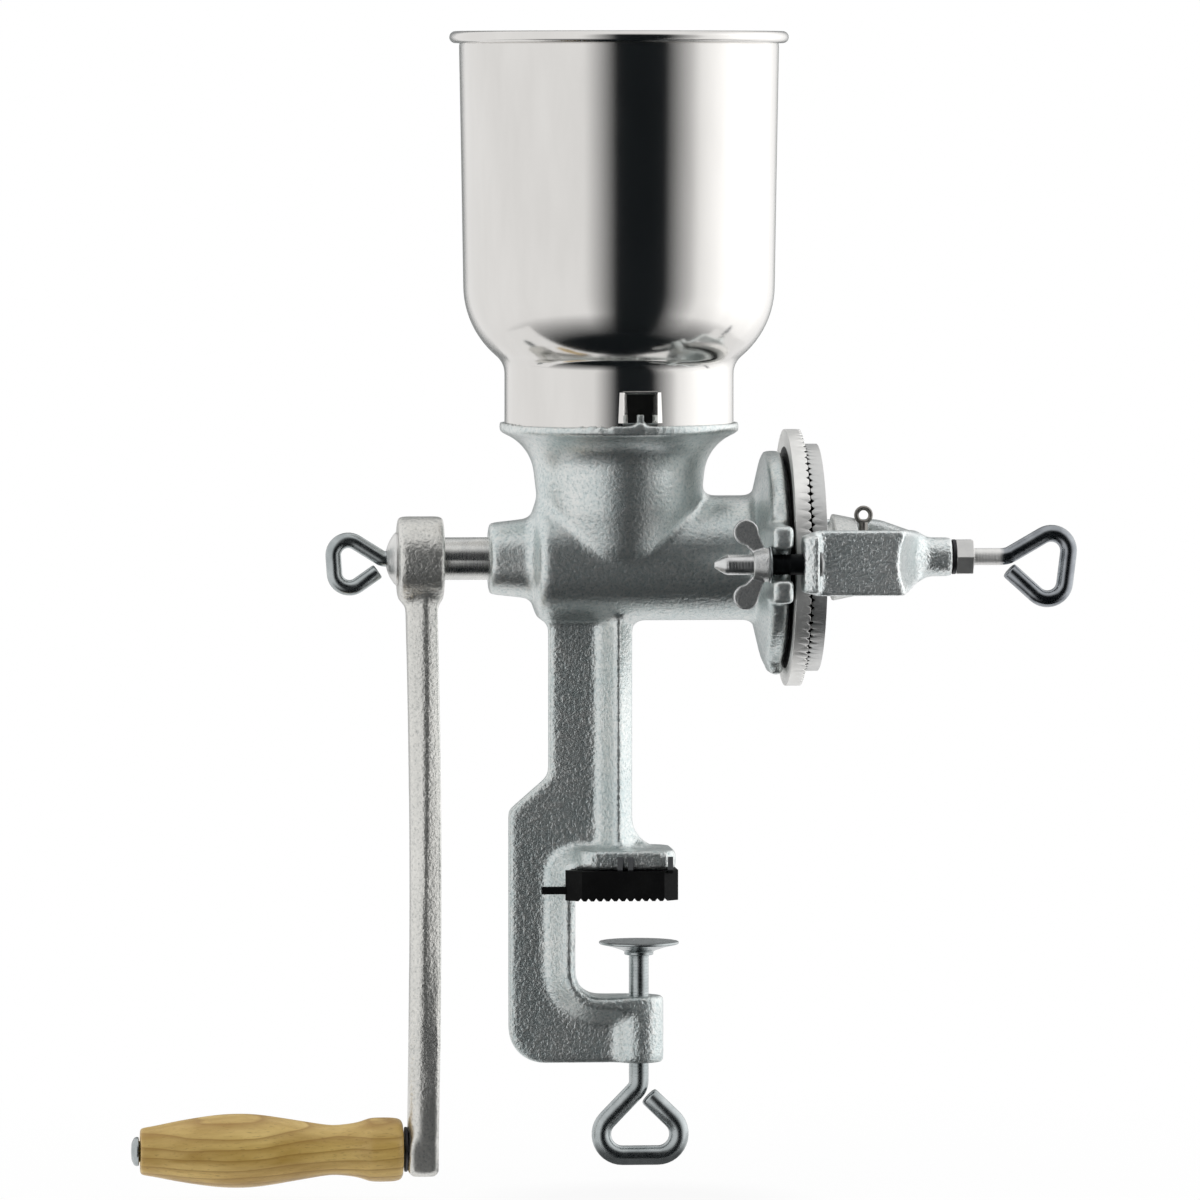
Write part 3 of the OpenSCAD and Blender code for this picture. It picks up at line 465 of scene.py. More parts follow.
def rounded(profile, easing, steps=3):
    """A lathe profile of radius and place with its inner corners rounded off."""
    most = 0.45
    out = [Vector(profile[0])]
    for before, corner, after in zip(profile, profile[1:], profile[2:]):
        corner = Vector(corner)
        back = Vector(before) - corner
        ahead = Vector(after) - corner
        reach = min(easing, back.length * most, ahead.length * most)
        start = corner + back.normalized() * reach
        end = corner + ahead.normalized() * reach
        for i in range(steps + 1):
            share = i / steps
            out.append(start.lerp(corner, share).lerp(corner.lerp(end, share), share))
    out.append(Vector(profile[-1]))
    return out


def profile_line(bm, profile, start, axis):
    """Draws a profile of radius and place beside an axis, ready to be spun."""
    side = axis.orthogonal().normalized()
    points = [bm.verts.new(start + side * radius + axis * place) for radius, place in profile]
    return points + [bm.edges.new(pair) for pair in zip(points, points[1:])]


def lathe(bm, profile, start, axis, steps=64):
    """Spins a profile of radius and place along an axis into a closed turned shape."""
    axis = Vector(axis)
    start = Vector(start)
    line = profile_line(bm, profile, start, axis)
    bmesh.ops.spin(bm, geom=line, cent=start, axis=axis, angle=2 * pi, steps=steps, use_merge=True)
    bmesh.ops.remove_doubles(bm, verts=bm.verts, dist=same_point)
    bmesh.ops.recalc_face_normals(bm, faces=bm.faces)


def thread(bm, radius, depth, pitch, start, length, axis, steps=20):
    """Winds a ridge along an axis, one turn for each pitch, as a cut thread."""
    axis = Vector(axis)
    start = Vector(start)
    turns = int(length / pitch) - 1
    ridge = [(radius - depth, 0), (radius, 0.4 * pitch), (radius, 0.6 * pitch), (radius - depth, pitch)]
    line = profile_line(bm, ridge, start, axis)
    bmesh.ops.spin(
        bm, geom=line, cent=start, axis=axis, dvec=axis * (pitch / steps), angle=2 * pi * turns,
        steps=steps * turns)
    bmesh.ops.remove_doubles(bm, verts=bm.verts, dist=same_point)


for side in ("front", "rear"):
    low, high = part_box(side + "_bolt")
    bolt_end = Vector((low.x, (low.y + high.y) / 2, (low.z + high.z) / 2))
    bolt_long = high.x - low.x
    head_r = (high.z - low.z) / 2
    under_head = bolt_long - bolt_head_t
    thread_end = under_head - bolt_plain
    bolt_profile = [
        (0, 0), (bolt_tip_r, 0), (bolt_core_r, bolt_tip), (bolt_core_r, thread_end),
        (bolt_shank_r, thread_end + bolt_runout), (bolt_shank_r, under_head), (head_r, under_head),
        (head_r * bolt_dome_share, bolt_long - bolt_dome_t), (head_r * bolt_top_share, bolt_long),
        (0, bolt_long)
    ]
    bolt = bmesh.new()
    lathe(bolt, rounded(bolt_profile, bolt_head_round), bolt_end, shaft_axis)
    thread_start = bolt_end + Vector((bolt_tip, 0, 0))
    thread(
        bolt, bolt_shank_r, bolt_thread_depth, bolt_pitch, thread_start, thread_end - bolt_tip, shaft_axis)
    make_piece(side + "_bridge_bolt", bolt, bolt_zinc, "mill", [side + "_bolt"])

# Bolt washers and wing nuts
# Pressed zinc washers bear on the flange's forks, and cast zinc wing nuts on the bolts pull the bridge up
# by hand.
washer_round = 0.0002
bolt_hole_r = 0.00445
wing_skin = 0.0004
wing_passes = 7
zinc_wire = turned_steel(
    "zinc_wire", bright=(0.46, 0.49, 0.495), dull=(0.34, 0.37, 0.375), rough=0.15, ring_scale=500)
wing_zinc = tinned_iron(
    "wing_zinc", grain_size=0.0007, grain_depth=0.00012, dark=(0.52, 0.535, 0.54), light=(0.68, 0.68, 0.67))


def turned_washer(name, node, hole_r, body, finish):
    """A flat ring with rolled edges, square to the shaft, in the place of a packed washer."""
    low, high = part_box(node)
    half = (high.x - low.x) / 2
    rim_r = max(high - low) / 2
    section = [(hole_r, 0), (hole_r, half), (rim_r, half), (rim_r, -half), (hole_r, -half), (hole_r, 0)]
    washer = bmesh.new()
    lathe(washer, rounded(section, washer_round), (low + high) / 2, shaft_axis)
    make_piece(name, washer, finish, body, [node])


for side in ("front", "rear"):
    washer_body = side + "_washer"
    turned_washer(side + "_bolt_washer", washer_body, bolt_hole_r, washer_body, zinc_wire)
    wing_body = side + "_wing_nut"
    casting(side + "_wing_casting", wing_body, wing_zinc, wing_body, wing_skin, 0.0, wing_passes)

# Adjusting screw
# Thick zinc-plated wire, threaded at its tip and bent into a heart-shaped loop to turn by hand.
# A dark washer and a hexagon nut lock it on the bridge's hub.
adjust_d = 0.0068
adjust_tip = 0.10955
adjust_bend = 0.154
adjust_moves = [(0.04445, 30, 0.008), (0.0145, -127, 0.007), (0.0124, -125, 0.007), (0.0148, 0, 0)]
wire_sides = 24
wire_bend_steps = 14
wire_end_share = 0.12
wire_shading = 50
wire_thread_depth = 0.00035
wire_thread_proud = 0.00005
wire_thread_margin = 0.001
lock_hole_r = 0.00375
lock_nut_edge = 0.0006
thread_band = (0.1, 0.153, (0.82, 0.815, 0.8), 0.3)
# Painted shade: this copy of the wire zinc is darker than the other wires, for the dark reflections along
# its loop.
dark_wire = turned_steel(
    "dark_wire", bright=(0.36, 0.38, 0.4), dull=(0.24, 0.255, 0.275), rough=0.1, ring_scale=500,
    band=thread_band)
# A near-black steel tone for the two thin washers.
near_black_steel = turned_steel(
    "near_black_steel", bright=(0.075, 0.075, 0.08), dull=(0.03, 0.03, 0.034), rough=0.38, ring_scale=700)
pale_zinc = turned_steel(
    "pale_zinc", bright=(0.78, 0.775, 0.76), dull=(0.68, 0.68, 0.67), rough=0.3, ring_scale=700)


def of_kind(geometry, kind):
    """The points or the faces among what an operator gives back."""
    return [item for item in geometry if isinstance(item, kind)]


def bent_wire(diameter, start, heading, moves):
    """Pushes a round end ahead and swings it round each bend, all in the plane of the shaft and the leg.

    A move is a length, the angle of the bend after it and that bend's radius.
    """
    bm = bmesh.new()
    swing_axis = Vector((0, -1, 0))
    place = Vector(start)
    along = Vector((cos(radians(heading)), 0, sin(radians(heading))))
    rim = bmesh.ops.create_circle(bm, cap_ends=True, segments=wire_sides, radius=diameter / 2)["verts"]
    turn = Vector((0, 0, 1)).rotation_difference(along).to_matrix().to_4x4()
    bmesh.ops.transform(bm, matrix=Matrix.Translation(place) @ turn, verts=rim)
    end = list(rim[0].link_faces)
    for length, angle, radius in moves:
        pushed = bmesh.ops.extrude_face_region(bm, geom=end)["geom"]
        end = of_kind(pushed, bmesh.types.BMFace)
        bmesh.ops.translate(bm, vec=along * length, verts=of_kind(pushed, bmesh.types.BMVert))
        place += along * length
        if angle:
            inward = Vector((-along.z, 0, along.x)) * (1 if angle > 0 else -1)
            centre = place + inward * radius
            swung = bmesh.ops.spin(
                bm, geom=end, cent=centre, axis=swing_axis, angle=radians(angle), steps=wire_bend_steps)
            end = of_kind(swung["geom_last"], bmesh.types.BMFace)
            swing = Matrix.Rotation(radians(angle), 3, swing_axis)
            place = centre + swing @ (place - centre)
            along = swing @ along
    bmesh.ops.remove_doubles(bm, verts=bm.verts, dist=same_point)
    open_edges = [edge for edge in bm.edges if edge.is_boundary]
    bmesh.ops.holes_fill(bm, edges=open_edges, sides=wire_sides)
    bmesh.ops.recalc_face_normals(bm, faces=bm.faces)
    caps = [face for face in bm.faces if len(face.verts) == wire_sides]
    bmesh.ops.bevel(
        bm, geom=[edge for cap in caps for edge in cap.edges], offset=diameter * wire_end_share,
        affect="EDGES", segments=2, profile=0.5, material=-1)
    return bm


adjust_wire = bent_wire(adjust_d, (adjust_tip, 0, shaft_z), heading=0, moves=adjust_moves)
thread(
    adjust_wire, adjust_d / 2 + wire_thread_proud, wire_thread_depth, bolt_pitch,
    (adjust_tip + wire_thread_margin, 0, shaft_z), adjust_bend - adjust_tip - wire_thread_margin,
    shaft_axis)
make_piece(
    "adjusting_wire", adjust_wire, dark_wire, "adjusting_screw", ["adjusting_screw"], wire_shading)
turned_washer("dark_lock_washer", "lock_washer", lock_hole_r, "lock_washer", near_black_steel)
eased_copy("hexagon_lock_nut", "lock_nut", pale_zinc, "lock_nut", lock_nut_edge)

# Table pad
# Moulded black rubber under the jaw: saw teeth grip the table, clips hold the jaw and two hooks reach
# round the frame. The upper ends of the clips are greyer.
pad_edge = 0.00035
clip_z = 0.0122
clip_fade = 0.0006
rubber_grain_scale = 1500.0
rubber_dust_scale = 90.0
rubber_black = (0.002, 0.0021, 0.0023)
rubber_dusty = (0.006, 0.0063, 0.0066)
clip_grey = (0.1, 0.105, 0.11)


def pad_rubber():
    """Dull black rubber with a fine grain and some dust."""
    finish, pen, place = start_finish("pad_rubber")
    grain = noise(pen, place, rubber_grain_scale, detail=2.0)
    dust = noise(pen, place, rubber_dust_scale, detail=4.0)
    colour = blend_colour(pen, spread(pen, dust, 0.42, 0.75), rubber_black, rubber_dusty)
    clips = spread(pen, coordinate(pen, place, "Z"), clip_z, clip_z + clip_fade)
    colour = blend_colour(pen, clips, colour, clip_grey)
    roughness = 0.5 + grain * 0.16 + dust * 0.1
    bump = relief(pen, grain, strength=0.3, depth=0.0002)
    end_finish(pen, colour, roughness, bump, Specular_IOR_Level=0.12)
    return finish


eased_copy("rubber_table_pad", "table_pad", pad_rubber(), "mill", pad_edge)

# Clamp screw
# The same thick wire with a pressed pad at its tip. It is threaded through the lower arm and pushes the pad
# up under the table.
upright = (0, 0, 1)
clamp_d = 0.0079
clamp_x = 0.008
clamp_tip = -0.02
clamp_bend = -0.074
clamp_moves = [(0.054, -44, 0.006), (0.0158, 134, 0.0085), (0.0142, 136, 0.0085), (0.0136, 0, 0)]
pad_rim_t = 0.001
pad_dish_share = 0.7
pad_dish_z = -pad_rim_t - 0.0011
pad_foot = (0.0066, -0.0036)
pad_neck_r = 0.0058
pad_neck_z = -0.0042
pad_bore_r = 0.00405
pad_bore_z = -0.0022
pad_easing = 0.0004
clamp_wire = bent_wire(clamp_d, (clamp_x, 0, clamp_tip), heading=270, moves=clamp_moves)
thread(
    clamp_wire, clamp_d / 2 + wire_thread_proud, wire_thread_depth, bolt_pitch,
    (clamp_x, 0, clamp_bend + wire_thread_margin), clamp_tip - clamp_bend - 2 * wire_thread_margin,
    upright)
make_piece("clamp_wire", clamp_wire, zinc_wire, "clamp_screw", ["clamp_screw"], wire_shading)
low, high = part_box("clamp_pad")
pad_rim = (high.x - low.x) / 2
pad_end_z = low.z - high.z
pad_profile = [
    (0, 0), (pad_rim, 0), (pad_rim, -pad_rim_t), (pad_rim * pad_dish_share, pad_dish_z), pad_foot,
    (pad_neck_r, pad_neck_z), (pad_neck_r, pad_end_z), (pad_bore_r, pad_end_z), (pad_bore_r, pad_bore_z),
    (0, pad_bore_z)
]
clamp_pad = bmesh.new()
lathe(clamp_pad, rounded(pad_profile, pad_easing), (clamp_x, 0, high.z), upright)
make_piece("pressed_clamp_pad", clamp_pad, zinc_wire, "clamp_pad", ["clamp_pad"])

# Hopper
# Spun from one sheet of polished stainless steel: a straight neck, a rounded shoulder, a tall wall and a
# rolled lip. A notch with folded edges in its neck drops over the throat's peg, so that it can't turn.
hopper_low, hopper_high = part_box("hopper")
hopper_base = hopper_low.z
hopper_top = hopper_high.z
hopper_steps = 192
sheet = 0.0009
neck_r = 0.04575
neck_top = 0.2038
shoulder_z = 0.2098
shoulder_turn = 50
hollow_r = 0.00921
hollow_x = neck_r + hollow_r
wall_low_r = 0.0622
wall_top_r = 0.0638
wall_swell_r = wall_low_r + 0.0008
round_r = 0.03684
round_x = wall_low_r - round_r
round_z = 0.24508
wall_swell_z = round_z + 0.05
lip_r = 0.0024
lip_x = wall_top_r - sheet + lip_r
lip_z = hopper_top - lip_r
lip_turn = (-135, 165)
lip_steps = 20
wall_end_z = lip_z - 0.004
notch_x = 0.0048
notch_w = 0.0138
notch_left = notch_x - notch_w / 2
notch_right = notch_x + notch_w / 2
notch_top = 0.2036
notch_deep = 0.03
notch_below = 0.004
notch_corner = 0.0015
fold_r = 0.002
fold_taper = 0.75
fold_low = 0.1915
fold_sink = 0.0003
top_fold_r = 0.0006
top_fold_steps = 16
spun_scales = (12, 12, 1600)
smear_scales = (55, 55, 14)
rubbed_scales = (30, 30, 900)
dust_scale = 120.0
steel_low = (0.66, 0.645, 0.625)
steel_high = (0.72, 0.705, 0.685)
dull_low = (0.48, 0.475, 0.46)
dull_high = (0.6, 0.59, 0.57)
neck_shade_z = 0.214
neck_shade_fade = 0.004
neck_shade_colour = (0.05, 0.05, 0.05)


def arc(x, z, radius, first, last, steps=12):
    """Points of a profile round a centre, from one angle in degrees to another."""
    angles = [radians(first + (last - first) * i / steps) for i in range(steps + 1)]
    return [(x + radius * cos(a), z + radius * sin(a)) for a in angles]


def polished_stainless():
    """Mirror-bright sheet with faint spun lines and smears."""
    finish, pen, place = start_finish("polished_stainless")
    lines = stretched_noise(pen, place, spun_scales, detail=2.0)
    smears = stretched_noise(pen, place, smear_scales, detail=3.0)
    colour = blend_colour(pen, spread(pen, smears, 0.3, 0.72), steel_low, steel_high)
    roughness = 0.08 + smears * 0.06 + lines * 0.03
    bump = relief(pen, lines, strength=0.1, depth=0.00005)
    end_finish(pen, colour, roughness, bump, Metallic=1.0)
    return finish


def dull_stainless():
    """The same sheet inside: rubbed dull by grain and dusty, with painted shade that makes it dark down in
    the neck.
    """
    finish, pen, place = start_finish("dull_stainless")
    rubbed = stretched_noise(pen, place, rubbed_scales, detail=3.0)
    dust = noise(pen, place, dust_scale, detail=4.0)
    colour = blend_colour(pen, spread(pen, dust, 0.35, 0.7), dull_low, dull_high)
    # Painted shade: the inside goes nearly black down in the neck.
    neck_shade = fade(pen, coordinate(pen, place, "Z"), neck_shade_z, neck_shade_z + neck_shade_fade)
    colour = blend_colour(pen, neck_shade, colour, neck_shade_colour)
    roughness = 0.36 + rubbed * 0.12 + dust * 0.1
    bump = relief(pen, rubbed, strength=0.3, depth=0.0001)
    end_finish(pen, colour, roughness, bump, Metallic=1.0)
    return finish


stainless = polished_stainless()
wall = [(neck_r, hopper_base), (neck_r, neck_top)]
wall += arc(hollow_x, shoulder_z, hollow_r, 180, 180 - shoulder_turn)
wall += arc(round_x, round_z, round_r, -shoulder_turn, 0)
wall += [(wall_swell_r, wall_swell_z), (wall_top_r, wall_end_z)]
wall += arc(lip_x, lip_z, lip_r, *lip_turn, lip_steps)
wall += [(wall_top_r - sheet, wall_end_z), (wall_swell_r - sheet, wall_swell_z)]
wall += arc(round_x, round_z, round_r - sheet, 0, -shoulder_turn)
wall += arc(hollow_x, shoulder_z, hollow_r + sheet, 180 - shoulder_turn, 180)
wall += [(neck_r - sheet, neck_top), (neck_r - sheet, hopper_base), (neck_r, hopper_base)]
spun = bmesh.new()
lathe(spun, wall, (0, 0, 0), upright, hopper_steps)
hopper = make_piece("spun_hopper", spun, stainless, "hopper", ["hopper"])
hopper.data.materials.append(dull_stainless())
for face in hopper.data.polygons:
    outward = face.normal.x * face.center.x + face.normal.y * face.center.y
    if outward < 0 and face.center.z < lip_z - lip_r:
        face.material_index = 1

notch = block(
    Vector((notch_left, -neck_r - notch_deep / 2, hopper_base - notch_below)),
    Vector((notch_right, -neck_r + notch_deep / 2, notch_top)))
notch_edges = [e for e in notch.edges if abs(e.verts[0].co.y - e.verts[1].co.y) > notch_deep / 2]
bmesh.ops.bevel(
    notch, geom=notch_edges, offset=notch_corner, affect="EDGES", segments=3, profile=0.5, material=-1)
cutter = new_object("notch_cutter", notch)
cut = hopper.modifiers.new("notch", "BOOLEAN")
cut.operation = "DIFFERENCE"
cut.solver = "EXACT"
cut.object = cutter
settle(hopper)
bpy.data.objects.remove(cutter)

folds = bmesh.new()
fold_tall = notch_top - fold_low
for fold_x in (notch_left, notch_right):
    fold_y = -sqrt((neck_r - fold_sink) ** 2 - fold_x ** 2)
    fold_middle = Vector((fold_x, fold_y, fold_low + fold_tall / 2))
    bmesh.ops.create_cone(
        folds, cap_ends=True, segments=4, radius1=fold_r, radius2=fold_r * fold_taper, depth=fold_tall,
        matrix=Matrix.Translation(fold_middle))
top_fold = [(0, 0), (top_fold_r, 0), (top_fold_r, notch_w), (0, notch_w)]
lathe(folds, top_fold, (notch_left, -neck_r, notch_top), shaft_axis, top_fold_steps)
make_piece("notch_folds", folds, stainless, "hopper", [])

# Crank arm
# A long sand-cast arm, ridged down both broad sides, with a hub for the shaft and a square end block for
# the grip's pin. Its skin is smoother at the block than along the arm.
arm_skin = 0.001
arm_fillet = 0.003
arm_passes = 5
arm_change = (-0.088, -0.076, 3.7)
arm_grain_depth = 0.00007
arm_dark = (0.62, 0.62, 0.595)
arm_light = (0.77, 0.76, 0.725)
arm_tin = tinned_iron("arm_tin", body_grain, arm_grain_depth, arm_dark, arm_light, arm_change)
casting("crank_casting", "crank_arm", arm_tin, "rotor", arm_skin, arm_fillet, arm_passes)

# Crank screw
# A thinner zinc-plated wire screw with a loop, which pulls the crank's hub onto the shaft. It bears on a
# domed washer, turned to a part of a ball.
crank_d = 0.0062
crank_tip = -0.075
crank_moves = [(0.0187, -32, 0.0035), (0.0114, 126, 0.006), (0.007, 121, 0.006), (0.0097, 0, 0)]
dome_foot_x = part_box("crank_washer")[1].x
dome_rim_r = 0.0105
dome_hole_r = 0.00345
dome_rim_t = 0.0008
dome_high = 0.0048
dome_seam = 0.001
dome_rise = dome_high - dome_rim_t
dome_ball_r = (dome_rim_r ** 2 + dome_rise ** 2) / (2 * dome_rise)
dome_from = degrees(acos(dome_rim_r / dome_ball_r))
dome_to = degrees(acos(dome_hole_r / dome_ball_r))
crank_wire = bent_wire(crank_d, (crank_tip, 0, shaft_z), heading=180, moves=crank_moves)
make_piece("crank_wire", crank_wire, zinc_wire, "crank_screw", ["crank_screw"], wire_shading)
dome_profile = [(dome_hole_r, dome_seam), (dome_hole_r, 0), (dome_rim_r, 0)]
dome_profile += arc(0, dome_high - dome_ball_r, dome_ball_r, dome_from, dome_to)
dome_profile += dome_profile[:1]
dome = bmesh.new()
lathe(dome, dome_profile, (dome_foot_x, 0, shaft_z), (-1, 0, 0))
make_piece("domed_crank_washer", dome, pale_zinc, "crank_washer", ["crank_washer"])

# Grip
# Turned from pale hardwood and varnished: a belly for the palm, a waist and a collar next to the arm.
# It spins on a steel pin with a round head, and a black washer keeps it off the arm.
grip_low, grip_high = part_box("grip")
grip_long = grip_high.x - grip_low.x
grip_r = (grip_high.z - grip_low.z) / 2
grip_z = (grip_low.z + grip_high.z) / 2
grip_hole_r = 0.00408
grip_steps = 40
grip_shading = 50
grip_rounding = 2
grip_turning = [
    (0, 0.6), (0.012, 0.64), (0.06, 0.69), (0.12, 0.785), (0.2, 0.885), (0.3, 0.985), (0.37, 1.0),
    (0.43, 0.99), (0.5, 0.925), (0.6, 0.805), (0.7, 0.685), (0.74, 0.665), (0.79, 0.7), (0.83, 0.745),
    (0.865, 0.84), (0.885, 0.867), (0.945, 0.867), (0.975, 0.85), (1, 0.78)
]
pith_shift = (0.14, -0.012, 0.1558)
pith_lean = (0, 0.045, 0.02)
drift_scales = (14, 60, 60)
drift_reach = 0.006
wash_scales = (22, 120, 120)
pore_scales = (300, 1900, 1900)
years_per_metre = 260.0
wood_brown = (0.47, 0.28, 0.045)
wood_pale = (0.82, 0.59, 0.2)
late_brown = (0.36, 0.185, 0.025)
pore_brown = (0.33, 0.185, 0.04)
pin_r = 0.004
pin_head_t = 0.0032
pin_dome = ((0.6, 0.0003), (0.95, 0.0014))
pin_easing = 0.0008


def varnished_wood():
    """Pale hardwood with year rings round a pith below the grip, short pores and a thin varnish."""
    finish, pen, place = start_finish("varnished_wood")
    pith = pen.make(
        "ShaderNodeMapping", {"vector_type": "POINT"},
        {"Vector": place, "Location": pith_shift, "Rotation": pith_lean}, "Vector")
    drift = stretched_noise(pen, pith, drift_scales, detail=2.0)
    across = coordinate(pen, pith, "Y")
    upward = coordinate(pen, pith, "Z")
    from_pith = (across * across + upward * upward) ** 0.5 + drift * drift_reach
    year = pen.maths("FRACT", from_pith * years_per_metre)
    late = spread(pen, year, 0.2, 0.93) ** 3.0 * fade(pen, year, 0.93, 1.0)
    pores = spread(pen, stretched_noise(pen, place, pore_scales, detail=2.0), 0.58, 0.72)
    wash = stretched_noise(pen, pith, wash_scales, detail=3.0)
    colour = blend_colour(pen, spread(pen, wash, 0.34, 0.66), wood_brown, wood_pale)
    colour = blend_colour(pen, late * 0.75, colour, late_brown)
    colour = blend_colour(pen, pores * 0.5, colour, pore_brown)
    roughness = 0.42 + pores * 0.2 + late * 0.06
    bump = relief(pen, 1 - pores * 0.7 - late * 0.3, strength=0.2, depth=0.0002)
    end_finish(pen, colour, roughness, bump, Coat_Weight=0.35, Coat_Roughness=0.35)
    return finish


grip_profile = [(grip_hole_r, 0)]
grip_profile += [(thick * grip_r, share * grip_long) for share, thick in grip_turning]
grip_profile += [(grip_hole_r, grip_long), (grip_hole_r, 0)]
turned = bmesh.new()
lathe(turned, grip_profile, (grip_low.x, 0, grip_z), shaft_axis, grip_steps)
grip = make_piece("turned_grip", turned, varnished_wood(), "grip", ["grip"], grip_shading)
round_off = grip.modifiers.new("turned round", "SUBSURF")
round_off.levels = grip_rounding
round_off.render_levels = grip_rounding
low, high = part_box("grip_pin")
pin_head_r = (high.z - low.z) / 2
pin_long = high.x - low.x
pin_profile = [(0, 0)]
pin_profile += [(share * pin_head_r, place) for share, place in pin_dome]
pin_profile += [(pin_head_r, pin_head_t), (pin_r, pin_head_t), (pin_r, pin_long), (0, pin_long)]
pin = bmesh.new()
lathe(pin, rounded(pin_profile, pin_easing), (low.x, 0, grip_z), shaft_axis)
make_piece("riveted_grip_pin", pin, zinc_wire, "rotor", ["grip_pin"])
turned_washer("black_grip_washer", "grip_washer", grip_hole_r, "rotor", near_black_steel)

# Studio
# A pale floor under a plain white sky. Cards with soft edges stand and lie round the mill: black before it,
# below it and under the clamp screw's loop, grey behind it and bright on its right. The metal mirrors them,
# and the camera doesn't see them.
view_azimuth = radians(-4.5)
view_elevation = radians(3.0)
view_far = 4.0
view_middle = Vector((-0.0076, 0, 0.1192))
view_width = 0.48
view_end = 50
sensor = 36.0
white = (1, 1, 1, 1)
floor_white = (0.9, 0.9, 0.9, 1)
floor_z = solid_bounds[0][2] - 0.006
floor_front = -0.03
floor_back = 0.7
floor_half = 0.5
shadow_share = 0.06
shadow_fade = (0.15, 0.48)
shadow_front = -0.015
card_far = 4.6
card_half = 9.0
card_bottom = -14.0
card_top = 9.0
card_heights = (-80, -75, 34, 62)
front_sides = (-30, -6, 29, 57)
rear_sides = (-28, -12, 12, 28)
right_facing = 95
right_sides = (-45, -10, 35, 60)
right_heights = (-45, -15, 35, 60)
under_middle = Vector((0, 0, -1.0))
under_fade = (0.7, 2.0)
loop_middle = Vector((clamp_x, 0, floor_z + 0.0002))
loop_fade = (0.035, 0.075)
loop_cover = 0.85
black = ("ShaderNodeBsdfDiffuse", {"Color": (0.0095, 0.0118, 0.0135, 1)}, "BSDF")
grey = ("ShaderNodeBsdfDiffuse", {"Color": (0.36, 0.37, 0.37, 1)}, "BSDF")
bright = ("ShaderNodeEmission", {"Color": white, "Strength": 1.6}, "Emission")


def stage_card(name, corners, finish):
    """A flat card of the studio between four corners."""
    bm = bmesh.new()
    bm.faces.new([bm.verts.new(corner) for corner in corners])
    card = new_object(name, bm)
    card.data.materials.append(finish)
    return card


def pale_floor():
    """White to the camera and in mirrors, but for a faint shadow that thins out away from the mill."""
    finish, pen, place = start_finish("pale_floor")
    rays = [
        pen.make("ShaderNodeLightPath", {}, {}, ray)
        for ray in ("Is Camera Ray", "Is Glossy Ray", "Is Transmission Ray")
    ]
    shown = pen.maths("MAXIMUM", pen.maths("MAXIMUM", rays[0], rays[1]), rays[2])
    away = pen.vector_maths("LENGTH", "Value", place)
    behind_front = spread(pen, coordinate(pen, place, "Y"), floor_front, shadow_front)
    shade = shadow_share * fade(pen, away, *shadow_fade) * behind_front
    lit = pen.make("ShaderNodeBsdfDiffuse", {}, {"Color": floor_white}, "BSDF")
    plain = pen.make("ShaderNodeEmission", {}, {"Color": white, "Strength": 1.0}, "Emission")
    both = pen.make("ShaderNodeMixShader", {}, {"Fac": shown * (1 - shade), 1: lit, 2: plain}, "Shader")
    pen.make("ShaderNodeOutputMaterial", {}, {"Surface": both}, None)
    return finish


def soft_finish(pen, cover, kind, feeds, output):
    """Closes a card's material: its own shader where it covers, clear where it doesn't."""
    clear = pen.make("ShaderNodeBsdfTransparent", {}, {}, "BSDF")
    own = pen.make(kind, {}, feeds, output)
    mixed = pen.make("ShaderNodeMixShader", {}, {"Fac": cover, 1: clear, 2: own}, "Shader")
    pen.make("ShaderNodeOutputMaterial", {}, {"Surface": mixed}, None)


def within(pen, angle, edges):
    """One between the inner two of four angles in degrees, and nothing outside the outer two."""
    inner_low = spread(pen, angle, radians(edges[0]), radians(edges[1]))
    return inner_low * fade(pen, angle, radians(edges[2]), radians(edges[3]))


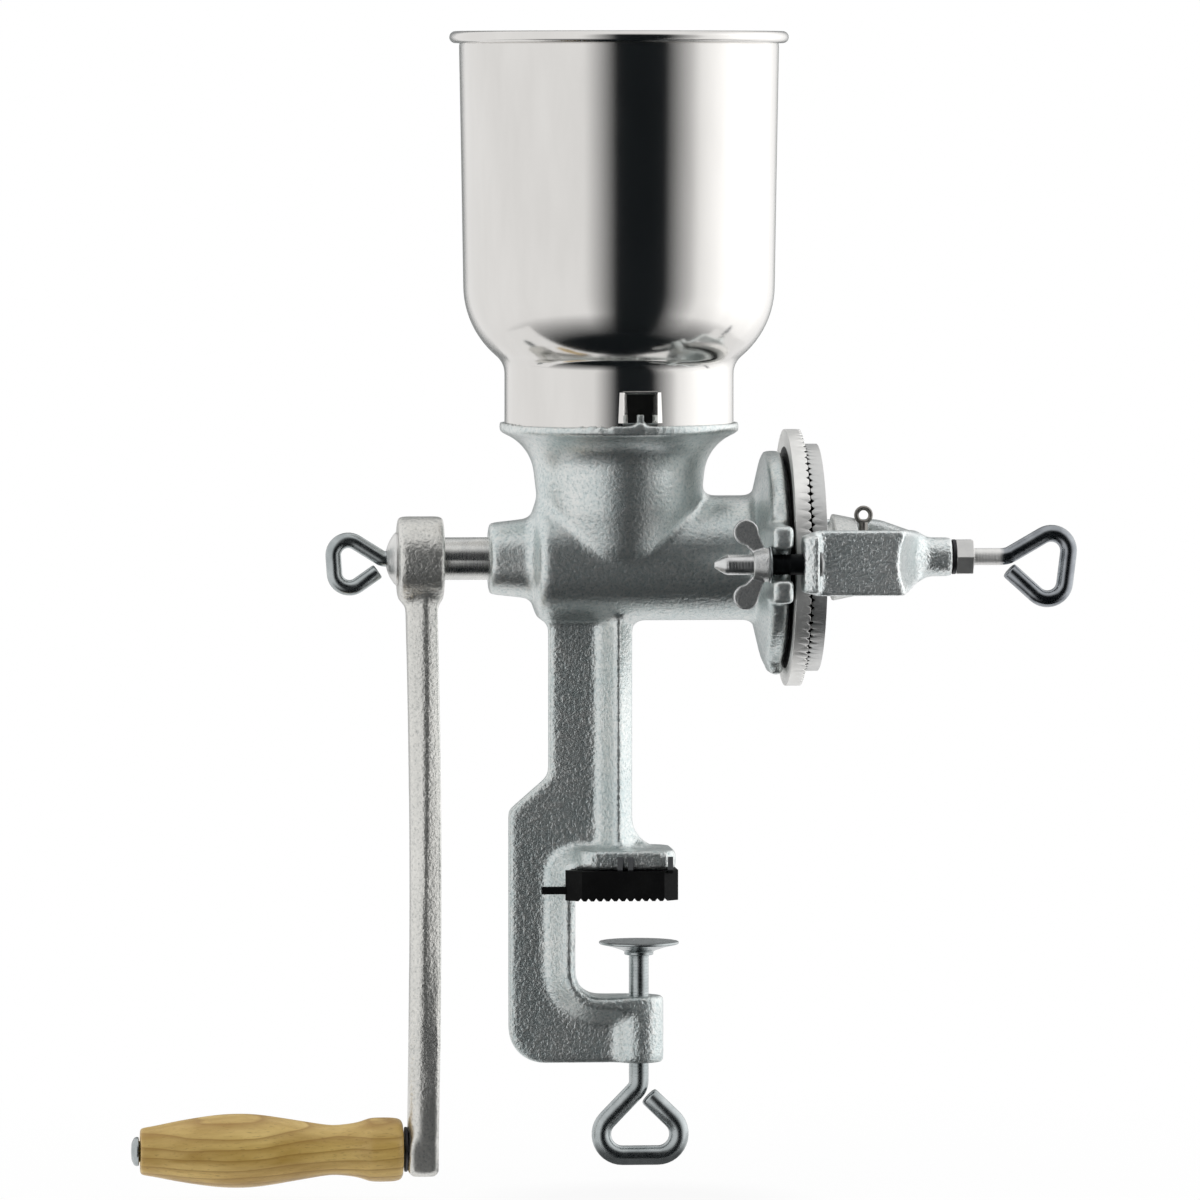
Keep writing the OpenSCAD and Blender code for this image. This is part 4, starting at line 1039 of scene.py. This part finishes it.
def soft_card(name, facing, sides, heights, shader):
    """An upright card at an angle round the mill that thins out by the angle it is seen at from there."""
    ahead = Vector((sin(radians(facing)), -cos(radians(facing)), 0))
    side = Vector((cos(radians(facing)), sin(radians(facing)), 0))
    finish, pen, place = start_finish(name)
    across = pen.vector_maths("DOT_PRODUCT", "Value", place, side)
    turned_by = pen.maths("ARCTAN2", across, card_far)
    raised_by = pen.maths("ARCTAN2", coordinate(pen, place, "Z"), card_far)
    soft_finish(pen, within(pen, turned_by, sides) * within(pen, raised_by, heights), *shader)
    left = ahead * card_far - side * card_half
    right = ahead * card_far + side * card_half
    bottom = Vector((0, 0, card_bottom))
    top = Vector((0, 0, card_top))
    corners = [left + bottom, right + bottom, right + top, left + top]
    stage_card(name, corners, finish).visible_camera = False


def lying_card(name, middle, edges, most, shader):
    """A flat card that thins out between two distances from its middle."""
    finish, pen, place = start_finish(name)
    away = pen.vector_maths("DISTANCE", "Value", place, middle)
    soft_finish(pen, spread(pen, away, *edges, most, 0.0), *shader)
    corners = [middle + edges[1] * Vector((x, y, 0)) for x, y in ((-1, -1), (1, -1), (1, 1), (-1, 1))]
    stage_card(name, corners, finish).visible_camera = False


floor_corners = [
    (-floor_half, floor_front, floor_z), (floor_half, floor_front, floor_z),
    (floor_half, floor_back, floor_z), (-floor_half, floor_back, floor_z)
]
stage_card("floor", floor_corners, pale_floor())
soft_card("front_card", 0, front_sides, card_heights, black)
soft_card("rear_card", 180, rear_sides, card_heights, grey)
soft_card("right_card", right_facing, right_sides, right_heights, bright)
lying_card("under_card", under_middle, under_fade, 1.0, black)
# The loop card stands in for the shade under the clamp screw's loop, seen in the loop's mirror.
lying_card("loop_card", loop_middle, loop_fade, loop_cover, black)

world = bpy.data.worlds.new("white_sky")
world.use_nodes = True
world.node_tree.nodes.clear()
sky_pen = Socket(world.node_tree)
sky = sky_pen.make("ShaderNodeBackground", {}, {"Color": white, "Strength": 1.0}, "Background")
sky_pen.make("ShaderNodeOutputWorld", {}, {"Surface": sky}, None)
scene.world = world
scene.view_settings.view_transform = "Standard"

lens = bpy.data.cameras.new("long_lens")
lens.sensor_width = sensor
lens.lens = sensor * view_far / view_width
lens.clip_end = view_end
camera = bpy.data.objects.new("long_lens", lens)
level_far = view_far * cos(view_elevation)
camera.location = view_middle + Vector(
    (sin(view_azimuth) * level_far, -cos(view_azimuth) * level_far, view_far * sin(view_elevation)))
camera.rotation_euler = (view_middle - camera.location).to_track_quat("-Z", "Y").to_euler()
scene.collection.objects.link(camera)
scene.camera = camera
